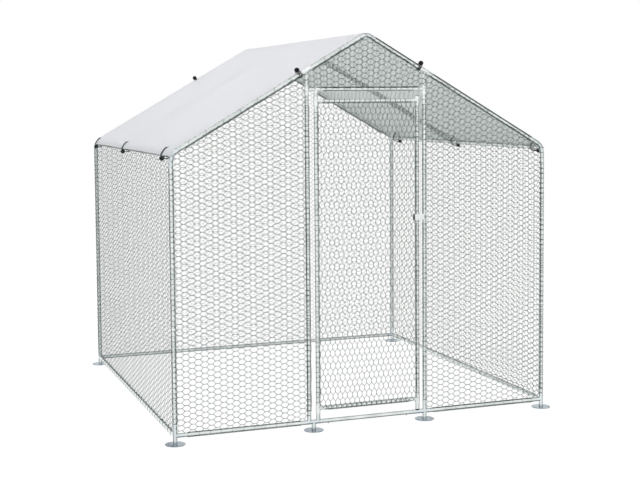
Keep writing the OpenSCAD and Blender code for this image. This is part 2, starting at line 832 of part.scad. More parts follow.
module sheet_eyelets() {
    flange_z = sheet_t / 2 + eyelet_gap;
    height = 2 * (flange_z + eyelet_t);
    color("dimgray")
        at_eyelets()
            difference() {
                union() {
                    cylinder(r = eyelet_barrel, h = height, center = true);
                    translate([0, 0, flange_z]) cylinder(r = eyelet_rim, h = eyelet_t);
                    translate([0, 0, -flange_z - eyelet_t]) cylinder(r = eyelet_rim, h = eyelet_t);
                }
                cylinder(r = eyelet_bore / 2, h = height + 1, center = true);
            }
}

// A ring of cord about a centre, in x and y
module cord_ring(centre, r) {
    translate(centre) rotate_extrude() translate([loop_r, 0]) circle(r = r);
}

module ball_loops() {
    color([0.1, 0.1, 0.1]) {
        at_eave_loops() cord_ring(eave_loop_c, cord_r);
        at_gable_loops() cord_ring(gable_loop_c, cord_r);
    }
}

// A ball threaded on a loop, with a channel for the cord
module threaded_ball(centre, angle) {
    translate(centre)
        rotate([0, 0, angle + 180])
            difference() {
                translate([-loop_r, 0, 0]) sphere(r = ball_r);
                cord_ring([0, 0], cord_r + cord_gap);
            }
}

module loop_balls() {
    color([0.1, 0.1, 0.1]) {
        at_eave_loops() threaded_ball(eave_loop_c, eave_ball_angle);
        at_gable_loops() threaded_ball(gable_loop_c, gable_ball_angle);
    }
}

// Shapes of the door

module door_hinge_stile() {
    color("silver") tube([hinge_x, front_y, hinge_low], [hinge_x, front_y, hinge_high], 0, false);
}

module door_latch_stile() {
    color("silver") tube([latch_x, front_y, latch_low], [latch_x, front_y, latch_high], 0, false);
}

module door_bar(z) {
    color("silver") tube(door_joint(-1, z)[0], door_joint(1, z)[0], 0, false);
}

module door_tees() {
    color("whitesmoke")
        for (sx = [-1, 1], z = [door_bottom, door_top]) {
            p = [sx < 0 ? hinge_x : latch_x, front_y, z];
            joint = door_joint(sx, z);
            difference() {
                union() {
                    sleeve(p, [0, 0, 1], door_tee_l);
                    plug(joint, door_tee_arm);
                }
                sleeve_cut(p, [0, 0, 1], door_tee_l);
                plug_bore(joint, door_tee_arm - tube_d, false);
            }
        }
}

module stile_caps() {
    color([0.1, 0.1, 0.1]) {
        along([latch_x, front_y, latch_low], [0, 0, 1]) stile_cap();
        along([latch_x, front_y, latch_high], [0, 0, -1]) stile_cap();
    }
}

// A cap whose plug stands in the end of the stile at the origin
module stile_cap() {
    translate([0, 0, -cap_t]) cylinder(r = tube_r, h = cap_t);
    translate([0, 0, -eps]) cylinder(r = plug_r, h = cap_plug);
}

// Shapes of the latch

// A band on the latch stile with two lugs that hold the pin above and below the plate's knuckle
module hasp_bracket() {
    web_x = pin_x + knuckle_r + hasp_gap;
    web_y = front_y - band_r + hasp_gap;
    lug_h = (hasp_h - knuckle_h) / 2 - knuckle_gap;
    color([0.12, 0.12, 0.12])
        difference() {
            union() {
                translate([latch_x, front_y, latch_z]) cylinder(r = band_r, h = hasp_h, center = true);
                translate([web_x, web_y, latch_z - hasp_h / 2])
                    cube([hasp_back - 2 * knuckle_r, knuckle_r + 1, hasp_h]);
                for (z = [latch_z - hasp_h / 2, latch_z + hasp_h / 2 - lug_h]) {
                    translate([pin_x, hasp_y, z]) cylinder(r = knuckle_r, h = lug_h);
                    translate([pin_x, web_y, z]) cube([web_x - pin_x + 1, knuckle_r / 2, lug_h]);
                }
            }
            translate([latch_x, front_y, latch_z])
                cylinder(r = band_bore, h = hasp_h + 1, center = true);
            translate([pin_x, hasp_y, latch_z])
                cylinder(r = pin_r + screw_gap, h = hasp_h + 1, center = true);
        }
}

module hasp_pin() {
    head_z = hasp_h / 2 + screw_gap;
    color("dimgray")
        translate([pin_x, hasp_y, latch_z]) {
            cylinder(r = pin_r, h = 2 * head_z, center = true);
            for (up = [0, 1])
                mirror([0, 0, up]) translate([0, 0, head_z - eps]) cylinder(r = pin_head_r, h = pin_head_h);
        }
}

module hasp_plate() {
    plate_x = pin_x + knuckle_r + hasp_gap;
    end_x = post_x + hasp_over;
    color("gainsboro")
        translate([0, hasp_y, latch_z])
            difference() {
                union() {
                    translate([plate_x, -hasp_t / 2, -hasp_h / 2]) cube([end_x - plate_x, hasp_t, hasp_h]);
                    translate([pin_x, -hasp_t / 2, -knuckle_h / 2])
                        cube([plate_x - pin_x + 1, hasp_t, knuckle_h]);
                    translate([pin_x, 0, 0]) cylinder(r = knuckle_r, h = knuckle_h, center = true);
                }
                translate([pin_x, 0, 0]) cylinder(r = pin_r + pin_gap, h = hasp_h, center = true);
                translate([post_x - slot_w / 2, -hasp_t, -slot_h / 2]) cube([slot_w, 2 * hasp_t, slot_h]);
            }
}

module latch_staple() {
    loop_y = front_y - band_r - staple_leg;
    color("gainsboro")
        difference() {
            union() {
                translate([post_x, front_y, latch_z])
                    cylinder(r = band_r, h = staple_band_h, center = true);
                for (z = [-staple_loop, staple_loop])
                    along([post_x, loop_y, latch_z + z], [0, 1, 0])
                        cylinder(r = staple_r, h = staple_leg + band_wall / 2);
                translate([post_x, loop_y, latch_z])
                    rotate([0, -90, 0])
                        rotate([0, 0, 180])
                            rotate_extrude(angle = 180)
                                translate([staple_loop, 0])
                                    circle(r = staple_r);
            }
            translate([post_x, front_y, latch_z])
                cylinder(r = band_bore, h = staple_band_h + 1, center = true);
        }
}

// Each piece of the run, drawn by its name
module shown(name) {
    children();
}

for (c = CORNERS) {
    base = corner_joints(c[1], c[2]);
    eave = eave_joints(c[1], c[2]);
    apex = apex_joints(c[2]);
    shown(str("corner_post_", c[0])) color("silver") tube(base[0][0], eave[0][0], base[0][2]);
    shown(str("corner_fitting_", c[0])) corner_fitting(c[1], c[2]);
    shown(str("eave_bend_", c[0])) eave_bend(c[1], c[2]);
    shown(str("rafter_", c[0])) color("silver") tube(eave[1][0], apex[c[1] < 0 ? 0 : 1][0]);
}
for (s = SIDES) {
    low = [for (sy = [-1, 1]) corner_joints(s[1], sy)];
    high = [for (sy = [-1, 1]) eave_joints(s[1], sy)];
    base = base_joints(s[1]);
    shown(str("side_rail_", s[0])) color("silver") tube(low[0][2][0], low[1][2][0]);
    shown(str("eave_tube_", s[0])) color("silver") tube(high[0][2][0], high[1][2][0]);
    shown(str("front_rail_", s[0])) color("silver") tube(low[0][1][0], base[1][0]);
    shown(str("door_post_", s[0]))
        color("silver") tube(base[0][0], rafter_tee_joint(s[1])[0], base[0][2]);
    shown(str("door_base_", s[0])) door_base(s[1]);
    shown(str("header_tee_", s[0])) header_tee(s[1]);
    shown(str("side_net_", s[0])) side_net(s[1]);
    shown(str("roof_net_", s[0])) roof_net(s[1]);
    shown(str("front_net_", s[0])) front_net(s[1]);
}
apex_bends();
color("silver") tube(apex_joints(-1)[2][0], apex_joints(1)[2][0]);  // ridge_tube
color("silver") tube(corner_joints(-1, 1)[1][0], corner_joints(1, 1)[1][0]);  // rear_rail
color("silver") tube(base_joints(-1)[2][0], base_joints(1)[2][0]);  // door_threshold
color("silver") tube(header_joint(-1)[0], header_joint(1)[0]);  // header_tube
rafter_tees();
disc_feet();
frame_screws();
rear_net();
gable_net();
roof_sheet();
sheet_eyelets();
ball_loops();
loop_balls();
latch_staple();
door_hinge_stile();
door_latch_stile();
door_bar(door_top);  // door_top_bar
door_bar(door_bottom);  // door_bottom_bar
door_tees();
door_net();
stile_caps();
hasp_bracket();
hasp_pin();
hasp_plate();
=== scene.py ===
"""Looks of a walk-in poultry run: fine wire netting, roof sheet, ball loops and finishes on its CAD frame.

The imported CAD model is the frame. Its tubes, fittings and latch stay and get their finishes. The wide CAD
nets give way to fine twisted netting that is laced round the tubes, the flat roof sheet to a hemmed one, and
the ball loops to braided cords and moulded balls. All lengths are in metres, in the CAD's own axes.
"""

import json  # noqa: E402
import logging  # noqa: E402
import math  # noqa: E402
from contextlib import contextmanager  # noqa: E402
from dataclasses import dataclass, field  # noqa: E402
from enum import Enum  # noqa: E402
from typing import Callable, Iterator, Sequence  # noqa: E402

import bmesh  # noqa: E402
import bpy  # noqa: E402
from mathutils import Matrix, Vector  # noqa: E402


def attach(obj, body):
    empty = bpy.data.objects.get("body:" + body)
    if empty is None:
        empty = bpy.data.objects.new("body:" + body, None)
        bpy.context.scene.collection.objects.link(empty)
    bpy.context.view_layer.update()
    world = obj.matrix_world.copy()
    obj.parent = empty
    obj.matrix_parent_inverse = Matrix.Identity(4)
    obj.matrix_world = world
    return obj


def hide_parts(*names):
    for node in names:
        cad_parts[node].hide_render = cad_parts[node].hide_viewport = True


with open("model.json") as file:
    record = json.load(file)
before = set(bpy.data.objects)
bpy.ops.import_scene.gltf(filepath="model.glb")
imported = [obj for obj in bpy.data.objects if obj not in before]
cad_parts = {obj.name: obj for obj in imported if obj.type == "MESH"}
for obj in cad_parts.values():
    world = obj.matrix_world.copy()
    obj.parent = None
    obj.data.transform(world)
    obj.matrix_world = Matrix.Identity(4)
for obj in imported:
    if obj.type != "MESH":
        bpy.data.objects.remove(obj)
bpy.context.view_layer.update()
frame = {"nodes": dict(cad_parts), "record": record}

LOG = logging.getLogger("poultry_run")
Point = tuple[float, float, float]
Flat = tuple[float, float]
Span = tuple[Point, Point]
Colour = tuple[float, float, float]


def frame_axes(across: Sequence[float], up: Sequence[float], off: Sequence[float],
               origin: Sequence[float]) -> Matrix:
    """Axes from their three directions and their origin.

    Args:
        across: direction of x.
        up: direction of y.
        off: direction of z.
        origin: where x, y and z are 0.

    Returns:
        The axes.
    """
    axes = Matrix((across, up, off)).transposed().to_4x4()
    axes.translation = Vector(origin)
    return axes


@dataclass(frozen=True)
class RunSizes:
    """Sizes that the CAD frame is built to, repeated here for the pieces that are laid on it.

    Attributes:
        half_w: distance of the corner posts' axes from the middle, to the side.
        half_d: distance of the corner posts' axes from the middle, to the front and the rear.
        eave_h: height of an eave corner, where a post's and a rafter's axes would meet.
        pitch: slope of the roof, in radians.
        rail_h: height of the ground rails' axes.
        tube_r: outside radius of the tubes.
        post_x: distance of the door posts' axes from the middle.
        header_drop: how far the header's axis lies below the door posts' tops.
        hinge_x: place of the door's hinge stile.
        latch_x: place of the door's latch stile.
        door_bottom: height of the door's bottom bar.
        door_top_drop: how far the door's top bar lies below the header.
        eave_bend_r: radius of the eave bends' axes.
        apex_bend_r: radius of the apex bends' axes.
        ball_r: radius of a ball.
        sheet_low: distance of the sheet's underside off the rafters' axes.
        sheet_t: thickness of the CAD sheet.
        sheet_end: length of sheet past the rafters' axes, at the front and the rear.
    """

    half_w: float = 1.000
    half_d: float = 1.000
    eave_h: float = 1.395
    pitch: float = math.radians(30)
    rail_h: float = 0.043
    tube_r: float = 0.011
    post_x: float = 0.316
    header_drop: float = 0.090
    hinge_x: float = -0.268
    latch_x: float = 0.276
    door_bottom: float = 0.110
    door_top_drop: float = 0.060
    eave_bend_r: float = 0.070
    apex_bend_r: float = 0.045
    ball_r: float = 0.0125
    sheet_low: float = 0.0128
    sheet_t: float = 0.001
    sheet_end: float = 0.004

    @property
    def slope(self) -> float:
        """Length of a rafter's axis from the eave corner to the apex."""
        return self.half_w / math.cos(self.pitch)

    @property
    def apex_h(self) -> float:
        """Height at which the rafters' axes meet."""
        return self.eave_h + self.half_w * math.tan(self.pitch)

    @property
    def post_top(self) -> float:
        """Height at which a door post's axis meets the rafter's."""
        return self.eave_h + (self.half_w - self.post_x) * math.tan(self.pitch)

    @property
    def header_z(self) -> float:
        """Height of the header's axis."""
        return self.post_top - self.header_drop

    @property
    def door_top(self) -> float:
        """Height of the door's top bar."""
        return self.header_z - self.door_top_drop

    @property
    def eave_inset(self) -> Flat:
        """How far inwards and down the eave tube's axis lies from the eave corner.

        Returns:
            The distance inwards and the distance down.
        """
        half_turn = (math.pi / 2 - self.pitch) / 2
        inset = self.eave_bend_r * (1 / math.cos(half_turn) - 1)
        return inset * math.cos(half_turn), inset * math.sin(half_turn)

    @property
    def eave_leg(self) -> float:
        """Length of a rafter's axis from the eave corner to where the eave bend starts."""
        return self.eave_bend_r * math.tan((math.pi / 2 - self.pitch) / 2)

    @property
    def straight(self) -> float:
        """Length of a rafter's axis from the eave corner to where the apex bend starts."""
        return self.slope - self.apex_bend_r * math.tan(self.pitch)

    def layer(self, off: float) -> float:
        """Length of a layer off the rafters' axes, from the eave corner to the top of its round ridge."""
        return self.straight + (self.apex_bend_r + off) * self.pitch

    def over_bends(self, up: float, lift: float, off: float) -> Flat:
        """Bends a point of a flat layer over the ridge and over the eave.

        Args:
            up: distance up the slope, along the layer, from the eave corner.
            lift: height over the layer.
            off: the layer's distance off the rafters' axes.

        Returns:
            Its distances up the slope and off it, from the layer's own plane.
        """
        if up > self.straight:
            start, way, radius = self.straight, 1, self.apex_bend_r + off
        elif up < self.eave_leg:
            start, way, radius = self.eave_leg, -1, self.eave_bend_r + off
        else:
            return up, lift
        turn = abs(up - start) / radius
        return start + way * (radius + lift) * math.sin(turn), (radius + lift) * math.cos(turn) - radius

    def slope_frame(self, side: int) -> Matrix:
        """Axes of a roof slope.

        Args:
            side: -1 for the left slope and 1 for the right one.

        Returns:
            The axes from the eave corner: x to the front on the left slope and to the back on the right
            one, y up the slope and z off the roof.
        """
        up = Vector((-side * math.cos(self.pitch), 0, math.sin(self.pitch)))
        off = Vector((side * math.sin(self.pitch), 0, math.cos(self.pitch)))
        return frame_axes(up.cross(off), up, off, (side * self.half_w, 0, self.eave_h))


RUN = RunSizes()


class Bench:
    """Operator helpers that keep the selection and the mode tidy."""

    @staticmethod
    def clear() -> None:
        """Leaves edit mode and deselects everything."""
        if bpy.context.object and bpy.context.object.mode != "OBJECT":
            bpy.ops.object.mode_set(mode="OBJECT")
        bpy.ops.object.select_all(action="DESELECT")

    @staticmethod
    def pick(*objects: bpy.types.Object) -> None:
        """Selects the objects and makes the first one active.

        Args:
            objects: the objects to select.
        """
        Bench.clear()
        for item in objects:
            item.select_set(True)
        bpy.context.view_layer.objects.active = objects[0]

    @staticmethod
    @contextmanager
    def editing(item: bpy.types.Object) -> Iterator[bmesh.types.BMesh]:
        """Opens an object in edit mode with everything selected.

        Args:
            item: the object to edit.

        Yields:
            Its edit mesh, for selecting by place or direction.
        """
        Bench.pick(item)
        bpy.ops.object.mode_set(mode="EDIT")
        bpy.ops.mesh.select_all(action="SELECT")
        yield bmesh.from_edit_mesh(item.data)
        bpy.ops.object.mode_set(mode="OBJECT")

    @staticmethod
    def select_edges(item: bpy.types.Object, mesh: bmesh.types.BMesh,
                     wanted: Callable[[Vector, Vector], bool]) -> None:
        """Selects the edges of an edit mesh whose two ends pass a test.

        Args:
            item: the object in edit mode.
            mesh: its edit mesh.
            wanted: takes an edge's two end points.
        """
        bpy.ops.mesh.select_mode(type="EDGE")
        bpy.ops.mesh.select_all(action="DESELECT")
        for edge in mesh.edges:
            edge.select_set(wanted(edge.verts[0].co, edge.verts[1].co))
        bmesh.update_edit_mesh(item.data)

    @staticmethod
    def apply(item: bpy.types.Object, kind: str, **settings: object) -> None:
        """Adds a modifier with its settings and applies it.

        Args:
            item: the object.
            kind: the modifier's kind.
            settings: the modifier's properties.
        """
        modifier = item.modifiers.new(kind.lower(), kind)
        for name, value in settings.items():
            setattr(modifier, name, value)
        Bench.pick(item)
        bpy.ops.object.modifier_apply(modifier=modifier.name)

    @staticmethod
    def settle(item: bpy.types.Object) -> None:
        """Puts an object's place, turn and scale into its mesh."""
        Bench.pick(item)
        bpy.ops.object.transform_apply(location=True, rotation=True, scale=True)

    @staticmethod
    def place(item: bpy.types.Object, axes: Matrix) -> None:
        """Moves an object to a frame and puts that place into its mesh."""
        item.matrix_world = axes
        Bench.settle(item)

    @staticmethod
    def copy(item: bpy.types.Object, name: str) -> bpy.types.Object:
        """Copies an object with a mesh of its own.

        Args:
            item: the object to copy.
            name: the copy's name.

        Returns:
            The copy.
        """
        made = item.copy()
        made.data = item.data.copy()
        made.name = made.data.name = name
        bpy.context.collection.objects.link(made)
        return made

    @staticmethod
    def join(items: Sequence[bpy.types.Object], name: str) -> bpy.types.Object:
        """Joins objects into the first one and names it.

        Args:
            items: the objects to join.
            name: the new name.

        Returns:
            The joined object.
        """
        Bench.pick(*items)
        if len(items) > 1:
            bpy.ops.object.join()
        items[0].name = items[0].data.name = name
        return items[0]

    @staticmethod
    def smooth(item: bpy.types.Object, angle: float = 60) -> None:
        """Shades an object smooth, but for edges sharper than an angle in degrees."""
        Bench.pick(item)
        bpy.ops.object.shade_smooth_by_angle(angle=math.radians(angle))


class Tree:
    """A shader node tree, built up a node at a time."""

    def __init__(self, tree: bpy.types.NodeTree) -> None:
        """Takes up the node tree of a material or a world."""
        self.tree = tree

    def feed(self, node: bpy.types.Node, inputs: dict[str | int, object]) -> None:
        """Sets a node's inputs to values or to other nodes' outputs.

        Args:
            node: the node.
            inputs: values or sockets, by the names or numbers of the inputs.
        """
        for name, value in inputs.items():
            if isinstance(value, bpy.types.NodeSocket):
                self.tree.links.new(value, node.inputs[name])
            else:
                node.inputs[name].default_value = value

    def add(self, kind: str, inputs: dict[str | int, object] | None = None,
            **settings: object) -> bpy.types.Node:
        """Adds a node.

        Args:
            kind: the node's kind, without the words that all kinds start with.
            inputs: values or sockets for its inputs.
            settings: its other properties.

        Returns:
            The new node.
        """
        made = self.tree.nodes.new("ShaderNode" + kind)
        for name, value in settings.items():
            setattr(made, name, value)
        self.feed(made, inputs or {})
        return made

    def mix(self, share: object, first: bpy.types.Node, second: bpy.types.Node) -> bpy.types.Node:
        """Adds a mix of two shaders, in which the second one has a share."""
        return self.add("MixShader", {"Fac": share, 1: first.outputs[0], 2: second.outputs[0]})

    def product(self, first: object, second: object) -> bpy.types.NodeSocket:
        """Multiplies two values or sockets."""
        return self.add("Math", {0: first, 1: second}, operation="MULTIPLY").outputs[0]


class Nodes(Tree):
    """A material's node tree, round its Principled shader.

    Attributes:
        middle: the part of a noise's range that most of its values lie in.
    """

    middle: Flat = (0.3, 0.7)

    def __init__(self, name: str) -> None:
        """Makes a plain material and takes up its node tree.

        Args:
            name: the material's name.
        """
        self.material = bpy.data.materials.new(name)
        self.material.use_nodes = True
        super().__init__(self.material.node_tree)
        self.shader = self.tree.nodes["Principled BSDF"]
        self.coords = self.add("TexCoord").outputs

    def set(self, **inputs: object) -> None:
        """Sets the shader's inputs, with underscores for the spaces in their names."""
        self.feed(self.shader, {name.replace("_", " "): value for name, value in inputs.items()})

    def show(self, shader: bpy.types.Node) -> None:
        """Puts another shader on the surface."""
        self.feed(self.tree.nodes["Material Output"], {"Surface": shader.outputs[0]})

    def noise(self, scale: float, detail: float = 3.0) -> bpy.types.NodeSocket:
        """A noise over Object coordinates, with so many grains in a metre and so many finer octaves."""
        inputs = {"Vector": self.coords["Object"], "Scale": scale, "Detail": detail}
        return self.add("TexNoise", inputs).outputs["Fac"]

    def ramp(self, value: bpy.types.NodeSocket, places: Flat, first: Colour,
             second: Colour) -> bpy.types.NodeSocket:
        """A ramp between two colours, driven by a value.

        Args:
            value: the socket that drives it.
            places: values at which the two colours are reached.
            first: colour at the first place.
            second: colour at the second place.

        Returns:
            The ramp's colour.
        """
        made = self.add("ValToRGB", {"Fac": value})
        for element, place, colour in zip(made.color_ramp.elements, places, (first, second)):
            element.position = place
            element.color = (*colour, 1.0)
        return made.outputs["Color"]

    def span(self, value: bpy.types.NodeSocket, low: float, high: float) -> bpy.types.NodeSocket:
        """Spreads the middle of a noise's range between two limits.

        Args:
            value: the socket to spread.
            low: result at the start of the middle.
            high: result at its end.

        Returns:
            The spread value.
        """
        start, end = self.middle
        inputs = {"Value": value, "From Min": start, "From Max": end, "To Min": low, "To Max": high}
        return self.add("MapRange", inputs).outputs["Result"]

    def bump(self, height: bpy.types.NodeSocket, depth: float, strength: float) -> None:
        """Raises the surface by a height, after any bump that is there already.

        Args:
            height: the socket that gives the height.
            depth: how far a height of 1 stands out, in metres.
            strength: how much of it shows.
        """
        made = self.add("Bump", {"Height": height, "Distance": depth, "Strength": strength})
        earlier = self.shader.inputs["Normal"].links
        if earlier:
            self.feed(made, {"Normal": earlier[0].from_socket})
        self.set(Normal=made.outputs["Normal"])


@dataclass(frozen=True)
class ZincFinish:
    """Zinc-plated steel: cloudy patches, and a fine grain of smooth and dull spots.

    Attributes:
        name: the material's name.
        dark: colour of the dark patches.
        light: colour of the bright patches.
        smooth: roughness of the smooth spots.
        dull: roughness of the dull spots.
        metal: how metallic the surface is.
        patches: patches in a metre.
        grain: grains in a metre.
        relief: height of the grain.
    """

    name: str
    dark: Colour
    light: Colour
    smooth: float = 0.22
    dull: float = 0.40
    metal: float = 0.9
    patches: float = 14.0
    grain: float = 260.0
    relief: float = 0.0002

    def material(self) -> bpy.types.Material:
        """Builds the finish's node material.

        Returns:
            The material.
        """
        nodes = Nodes(self.name)
        cloud, grain = nodes.noise(self.patches, detail=4.0), nodes.noise(self.grain, detail=2.0)
        nodes.set(Base_Color=nodes.ramp(cloud, nodes.middle, self.dark, self.light), Metallic=self.metal,
                  Roughness=nodes.span(grain, self.smooth, self.dull))
        nodes.bump(grain, self.relief, strength=0.25)
        return nodes.material


@dataclass(frozen=True)
class WireFinish:
    """Galvanised wire with a dull, slightly blotched coat.

    Attributes:
        name: the material's name.
        dark: colour of the weathered patches.
        light: colour of the clean patches.
        patches: patches in a metre.
        grain: grains in a metre.
        rough: roughness of the smoothest and of the roughest grains.
        metal: how metallic the surface is.
    """

    name: str
    dark: Colour
    light: Colour
    patches: float = 30.0
    grain: float = 400.0
    rough: Flat = (0.35, 0.6)
    metal: float = 0.35

    def material(self) -> bpy.types.Material:
        """Builds the finish's node material.

        Returns:
            The material.
        """
        nodes = Nodes(self.name)
        patch = nodes.ramp(nodes.noise(self.patches), nodes.middle, self.dark, self.light)
        nodes.set(Base_Color=patch, Roughness=nodes.span(nodes.noise(self.grain), *self.rough),
                  Metallic=self.metal)
        return nodes.material


@dataclass(frozen=True)
class SheetFinish:
    """Coated woven sheet: a fine basket weave under a satin film, with faint fold marks.

    Attributes:
        name: the material's name.
        shade: colour of the film's darker clouds.
        film: colour of its lighter clouds.
        through: colour of the light that comes through.
        share: share of the light that comes through.
        tapes: turn of the weave's waves over the whole sheet, in radians.
        clouds: clouds in a metre.
        folds: fold marks in a metre.
        rough: roughness of the darker and of the lighter clouds.
        wave_turn: turn of a wave texture in one unit at a scale of 1, in radians.
    """

    name: str
    shade: Colour
    film: Colour
    through: Colour
    share: float = 0.66
    tapes: float = 330.0
    clouds: float = 3.5
    folds: float = 2.2
    rough: Flat = (0.42, 0.56)
    wave_turn: float = 20.0

    def material(self) -> bpy.types.Material:
        """Builds the finish's node material, with the weave on the sheet's UV map.

        Returns:
            The material.
        """
        nodes = Nodes(self.name)
        cloud = nodes.noise(self.clouds, detail=5.0)
        nodes.set(Base_Color=nodes.ramp(cloud, (0.25, 0.75), self.shade, self.film), Sheen_Weight=0.1,
                  Specular_IOR_Level=0.25, Roughness=nodes.span(cloud, *self.rough))
        bands = {"Vector": nodes.coords["UV"], "Scale": self.tapes / self.wave_turn, "Distortion": 0.6}
        tapes = [nodes.add("TexWave", bands, wave_type="BANDS", bands_direction=axis,
                           wave_profile="SIN").outputs["Fac"] for axis in ("X", "Y")]
        nodes.bump(nodes.product(*tapes), depth=0.0003, strength=0.3)
        nodes.bump(nodes.noise(self.folds, detail=2.0), depth=0.02, strength=0.35)
        lit = nodes.add("BsdfTranslucent", {"Color": (*self.through, 1.0)})
        nodes.show(nodes.mix(self.share, nodes.shader, lit))
        return nodes.material


@dataclass(frozen=True)
class BlackFinish:
    """Black plastic or paint, with a fine grain.

    Attributes:
        name: the material's name.
        tone: the darkest colour.
        worn: colour where it is rubbed.
        rough: roughness in the middle of its range.
        grain: grains in a metre.
        relief: height of the grain.
        rubs: rubbed patches in a metre.
        spread: how far the roughness strays from that middle.
    """

    name: str
    tone: Colour
    worn: Colour
    rough: float = 0.45
    grain: float = 500.0
    relief: float = 0.0002
    rubs: float = 40.0
    spread: float = 0.1

    def material(self) -> bpy.types.Material:
        """Builds the finish's node material.

        Returns:
            The material.
        """
        nodes = Nodes(self.name)
        rub, fine = nodes.noise(self.rubs, detail=4.0), nodes.noise(self.grain, detail=2.0)
        nodes.set(Base_Color=nodes.ramp(rub, (0.4, 0.8), self.tone, self.worn), Specular_IOR_Level=0.2,
                  Roughness=nodes.span(fine, self.rough - self.spread, self.rough + self.spread))
        nodes.bump(fine, self.relief, strength=0.6)
        return nodes.material


@dataclass(frozen=True)
class BraidFinish:
    """Black braided cord: slanting strands that follow the cord's length, with painted shade in the grooves
    between them.

    Attributes:
        name: the material's name.
        tone: colour between the strands, a painted shade in the grooves.
        strand: colour of the strands.
        slant: slant of the strands either way, in radians.
        repeat: scale of the pattern along the cord and round it.
    """

    name: str
    tone: Colour
    strand: Colour
    slant: float = 0.9
    repeat: Flat = (40.0, 4.0)

    def material(self) -> bpy.types.Material:
        """Builds the finish's node material, on the cord's UV map.

        Returns:
            The material.
        """
        nodes = Nodes(self.name)
        strands = []
        for slant in (self.slant, -self.slant):
            turned = nodes.add("Mapping", {"Vector": nodes.coords["UV"], "Rotation": (0, 0, slant),
                                           "Scale": (*self.repeat, 1.0)}).outputs["Vector"]
            strands.append(nodes.add("TexWave", {"Vector": turned, "Scale": 1.0}, wave_type="BANDS",
                                     bands_direction="X").outputs["Fac"])
        braid = nodes.add("Math", dict(enumerate(strands)), operation="MAXIMUM").outputs["Value"]
        # the darker tone between the strands is painted shade in the braid's grooves
        nodes.set(Base_Color=nodes.ramp(braid, (0.2, 0.9), self.tone, self.strand), Roughness=0.6)
        nodes.bump(braid, depth=0.0004, strength=0.8)
        return nodes.material


class Finish(Enum):
    """The finishes of the run's pieces."""

    TUBE = ZincFinish("zinc_tube", (0.62, 0.65, 0.64), (0.80, 0.82, 0.81), 0.14, 0.26, 1.0)
    FITTING = ZincFinish("zinc_fitting", (0.58, 0.62, 0.63), (0.77, 0.80, 0.81), 0.15, 0.28, 1.0)
    SLEEVE = ZincFinish("bright_zinc_sleeve", (0.84, 0.86, 0.86), (0.93, 0.94, 0.94), 0.2, 0.35, 0.5)
    FOOT = ZincFinish("blue_zinc_foot", (0.20, 0.25, 0.30), (0.34, 0.39, 0.44), 0.08, 0.2, 1.0)
    SCREW = ZincFinish("zinc_screw", (0.30, 0.31, 0.32), (0.45, 0.46, 0.47), 0.25, 0.45)
    LATCH = ZincFinish("zinc_latch", (0.86, 0.88, 0.87), (0.93, 0.94, 0.93), 0.35, 0.5, 0.1)
    EYELET = ZincFinish("eyelet_metal", (0.35, 0.36, 0.37), (0.55, 0.56, 0.57))
    WIRE = WireFinish("netting_wire", (0.036, 0.068, 0.060), (0.070, 0.114, 0.104))
    TIE = ZincFinish("bright_tie_wire", (0.86, 0.87, 0.87), (0.93, 0.94, 0.94), 0.3, 0.45, 0.1)
    SHEET = SheetFinish("coated_roof_sheet", (0.86, 0.80, 0.90), (0.92, 0.855, 0.95), (0.945, 0.98, 0.94))
    BALL = BlackFinish("black_ball", (0.003, 0.003, 0.003), (0.008, 0.008, 0.009), 0.32)
    CAP = BlackFinish("black_cap", (0.015, 0.015, 0.016), (0.035, 0.035, 0.037), 0.5)
    PAINT = BlackFinish("black_latch_paint", (0.014, 0.014, 0.015), (0.04, 0.04, 0.042), 0.35, 900.0, 0.0001)
    # the first colour is painted shade between the braid's strands
    CORD = BraidFinish("black_braid", (0.002, 0.002, 0.002), (0.012, 0.012, 0.013))

    def coat(self, item: bpy.types.Object) -> None:
        """Gives an object this finish and no other, building the material once.

        Args:
            item: the object.
        """
        made = bpy.data.materials.get(self.value.name) or self.value.material()
        item.data.materials.clear()
        item.data.materials.append(made)


# Finish of each of the record's material slots, for the CAD nodes that stay
SLOT_FINISH = {
    "tube": Finish.TUBE,
    "fitting": Finish.FITTING,
    "sleeve": Finish.SLEEVE,
    "foot": Finish.FOOT,
    "netting": Finish.WIRE,
    "sheet": Finish.SHEET,
    "eyelet": Finish.EYELET,
    "cord": Finish.CORD,
    "ball": Finish.BALL,
    "cap": Finish.CAP,
    "latch_black": Finish.PAINT,
    "latch_metal": Finish.LATCH,
    "screw": Finish.SCREW,
}


class FrameDress:
    """The CAD nodes that stay as they are, with their finishes."""

    def dress(self) -> None:
        """Coats every CAD node with the finish of its slot, and the staple with a darker one."""
        for part in frame["record"]["subparts"]:
            SLOT_FINISH[part["material_slot"]].coat(frame["nodes"][part["node"]])
        Finish.SCREW.coat(frame["nodes"]["latch_staple"])


@dataclass
class KnuckleSleeve:
    """A thin black sleeve on the hasp plate's knuckle, between the bracket's lugs.

    Attributes:
        centre: middle of the knuckle, on the pin's axis.
        radius: the sleeve's outside radius.
        height: the sleeve's height.
        wall: the sleeve's thickness.
        rim: rounding of its rims.
    """

    centre: Point = (0.2530, -1.0145, 1.0500)
    radius: float = 0.00485
    height: float = 0.0099
    wall: float = 0.0004
    rim: float = 0.00012

    def build(self) -> None:
        """Models the sleeve with rolled rims and seats it on the hasp."""
        Bench.clear()
        bpy.ops.mesh.primitive_cylinder_add(vertices=32, radius=self.radius, depth=self.height,
                                            location=self.centre, end_fill_type="NOTHING")
        sleeve = bpy.context.object
        Bench.settle(sleeve)
        Bench.apply(sleeve, "SOLIDIFY", thickness=self.wall, offset=-1.0)
        Bench.apply(sleeve, "BEVEL", width=self.rim, segments=2, limit_method="ANGLE")
        Bench.smooth(sleeve, angle=40)
        sleeve.name = sleeve.data.name = "knuckle_sleeve"
        Finish.PAINT.coat(sleeve)
        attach(sleeve, "hasp")
        LOG.info("%s: %d faces", sleeve.name, len(sleeve.data.polygons))


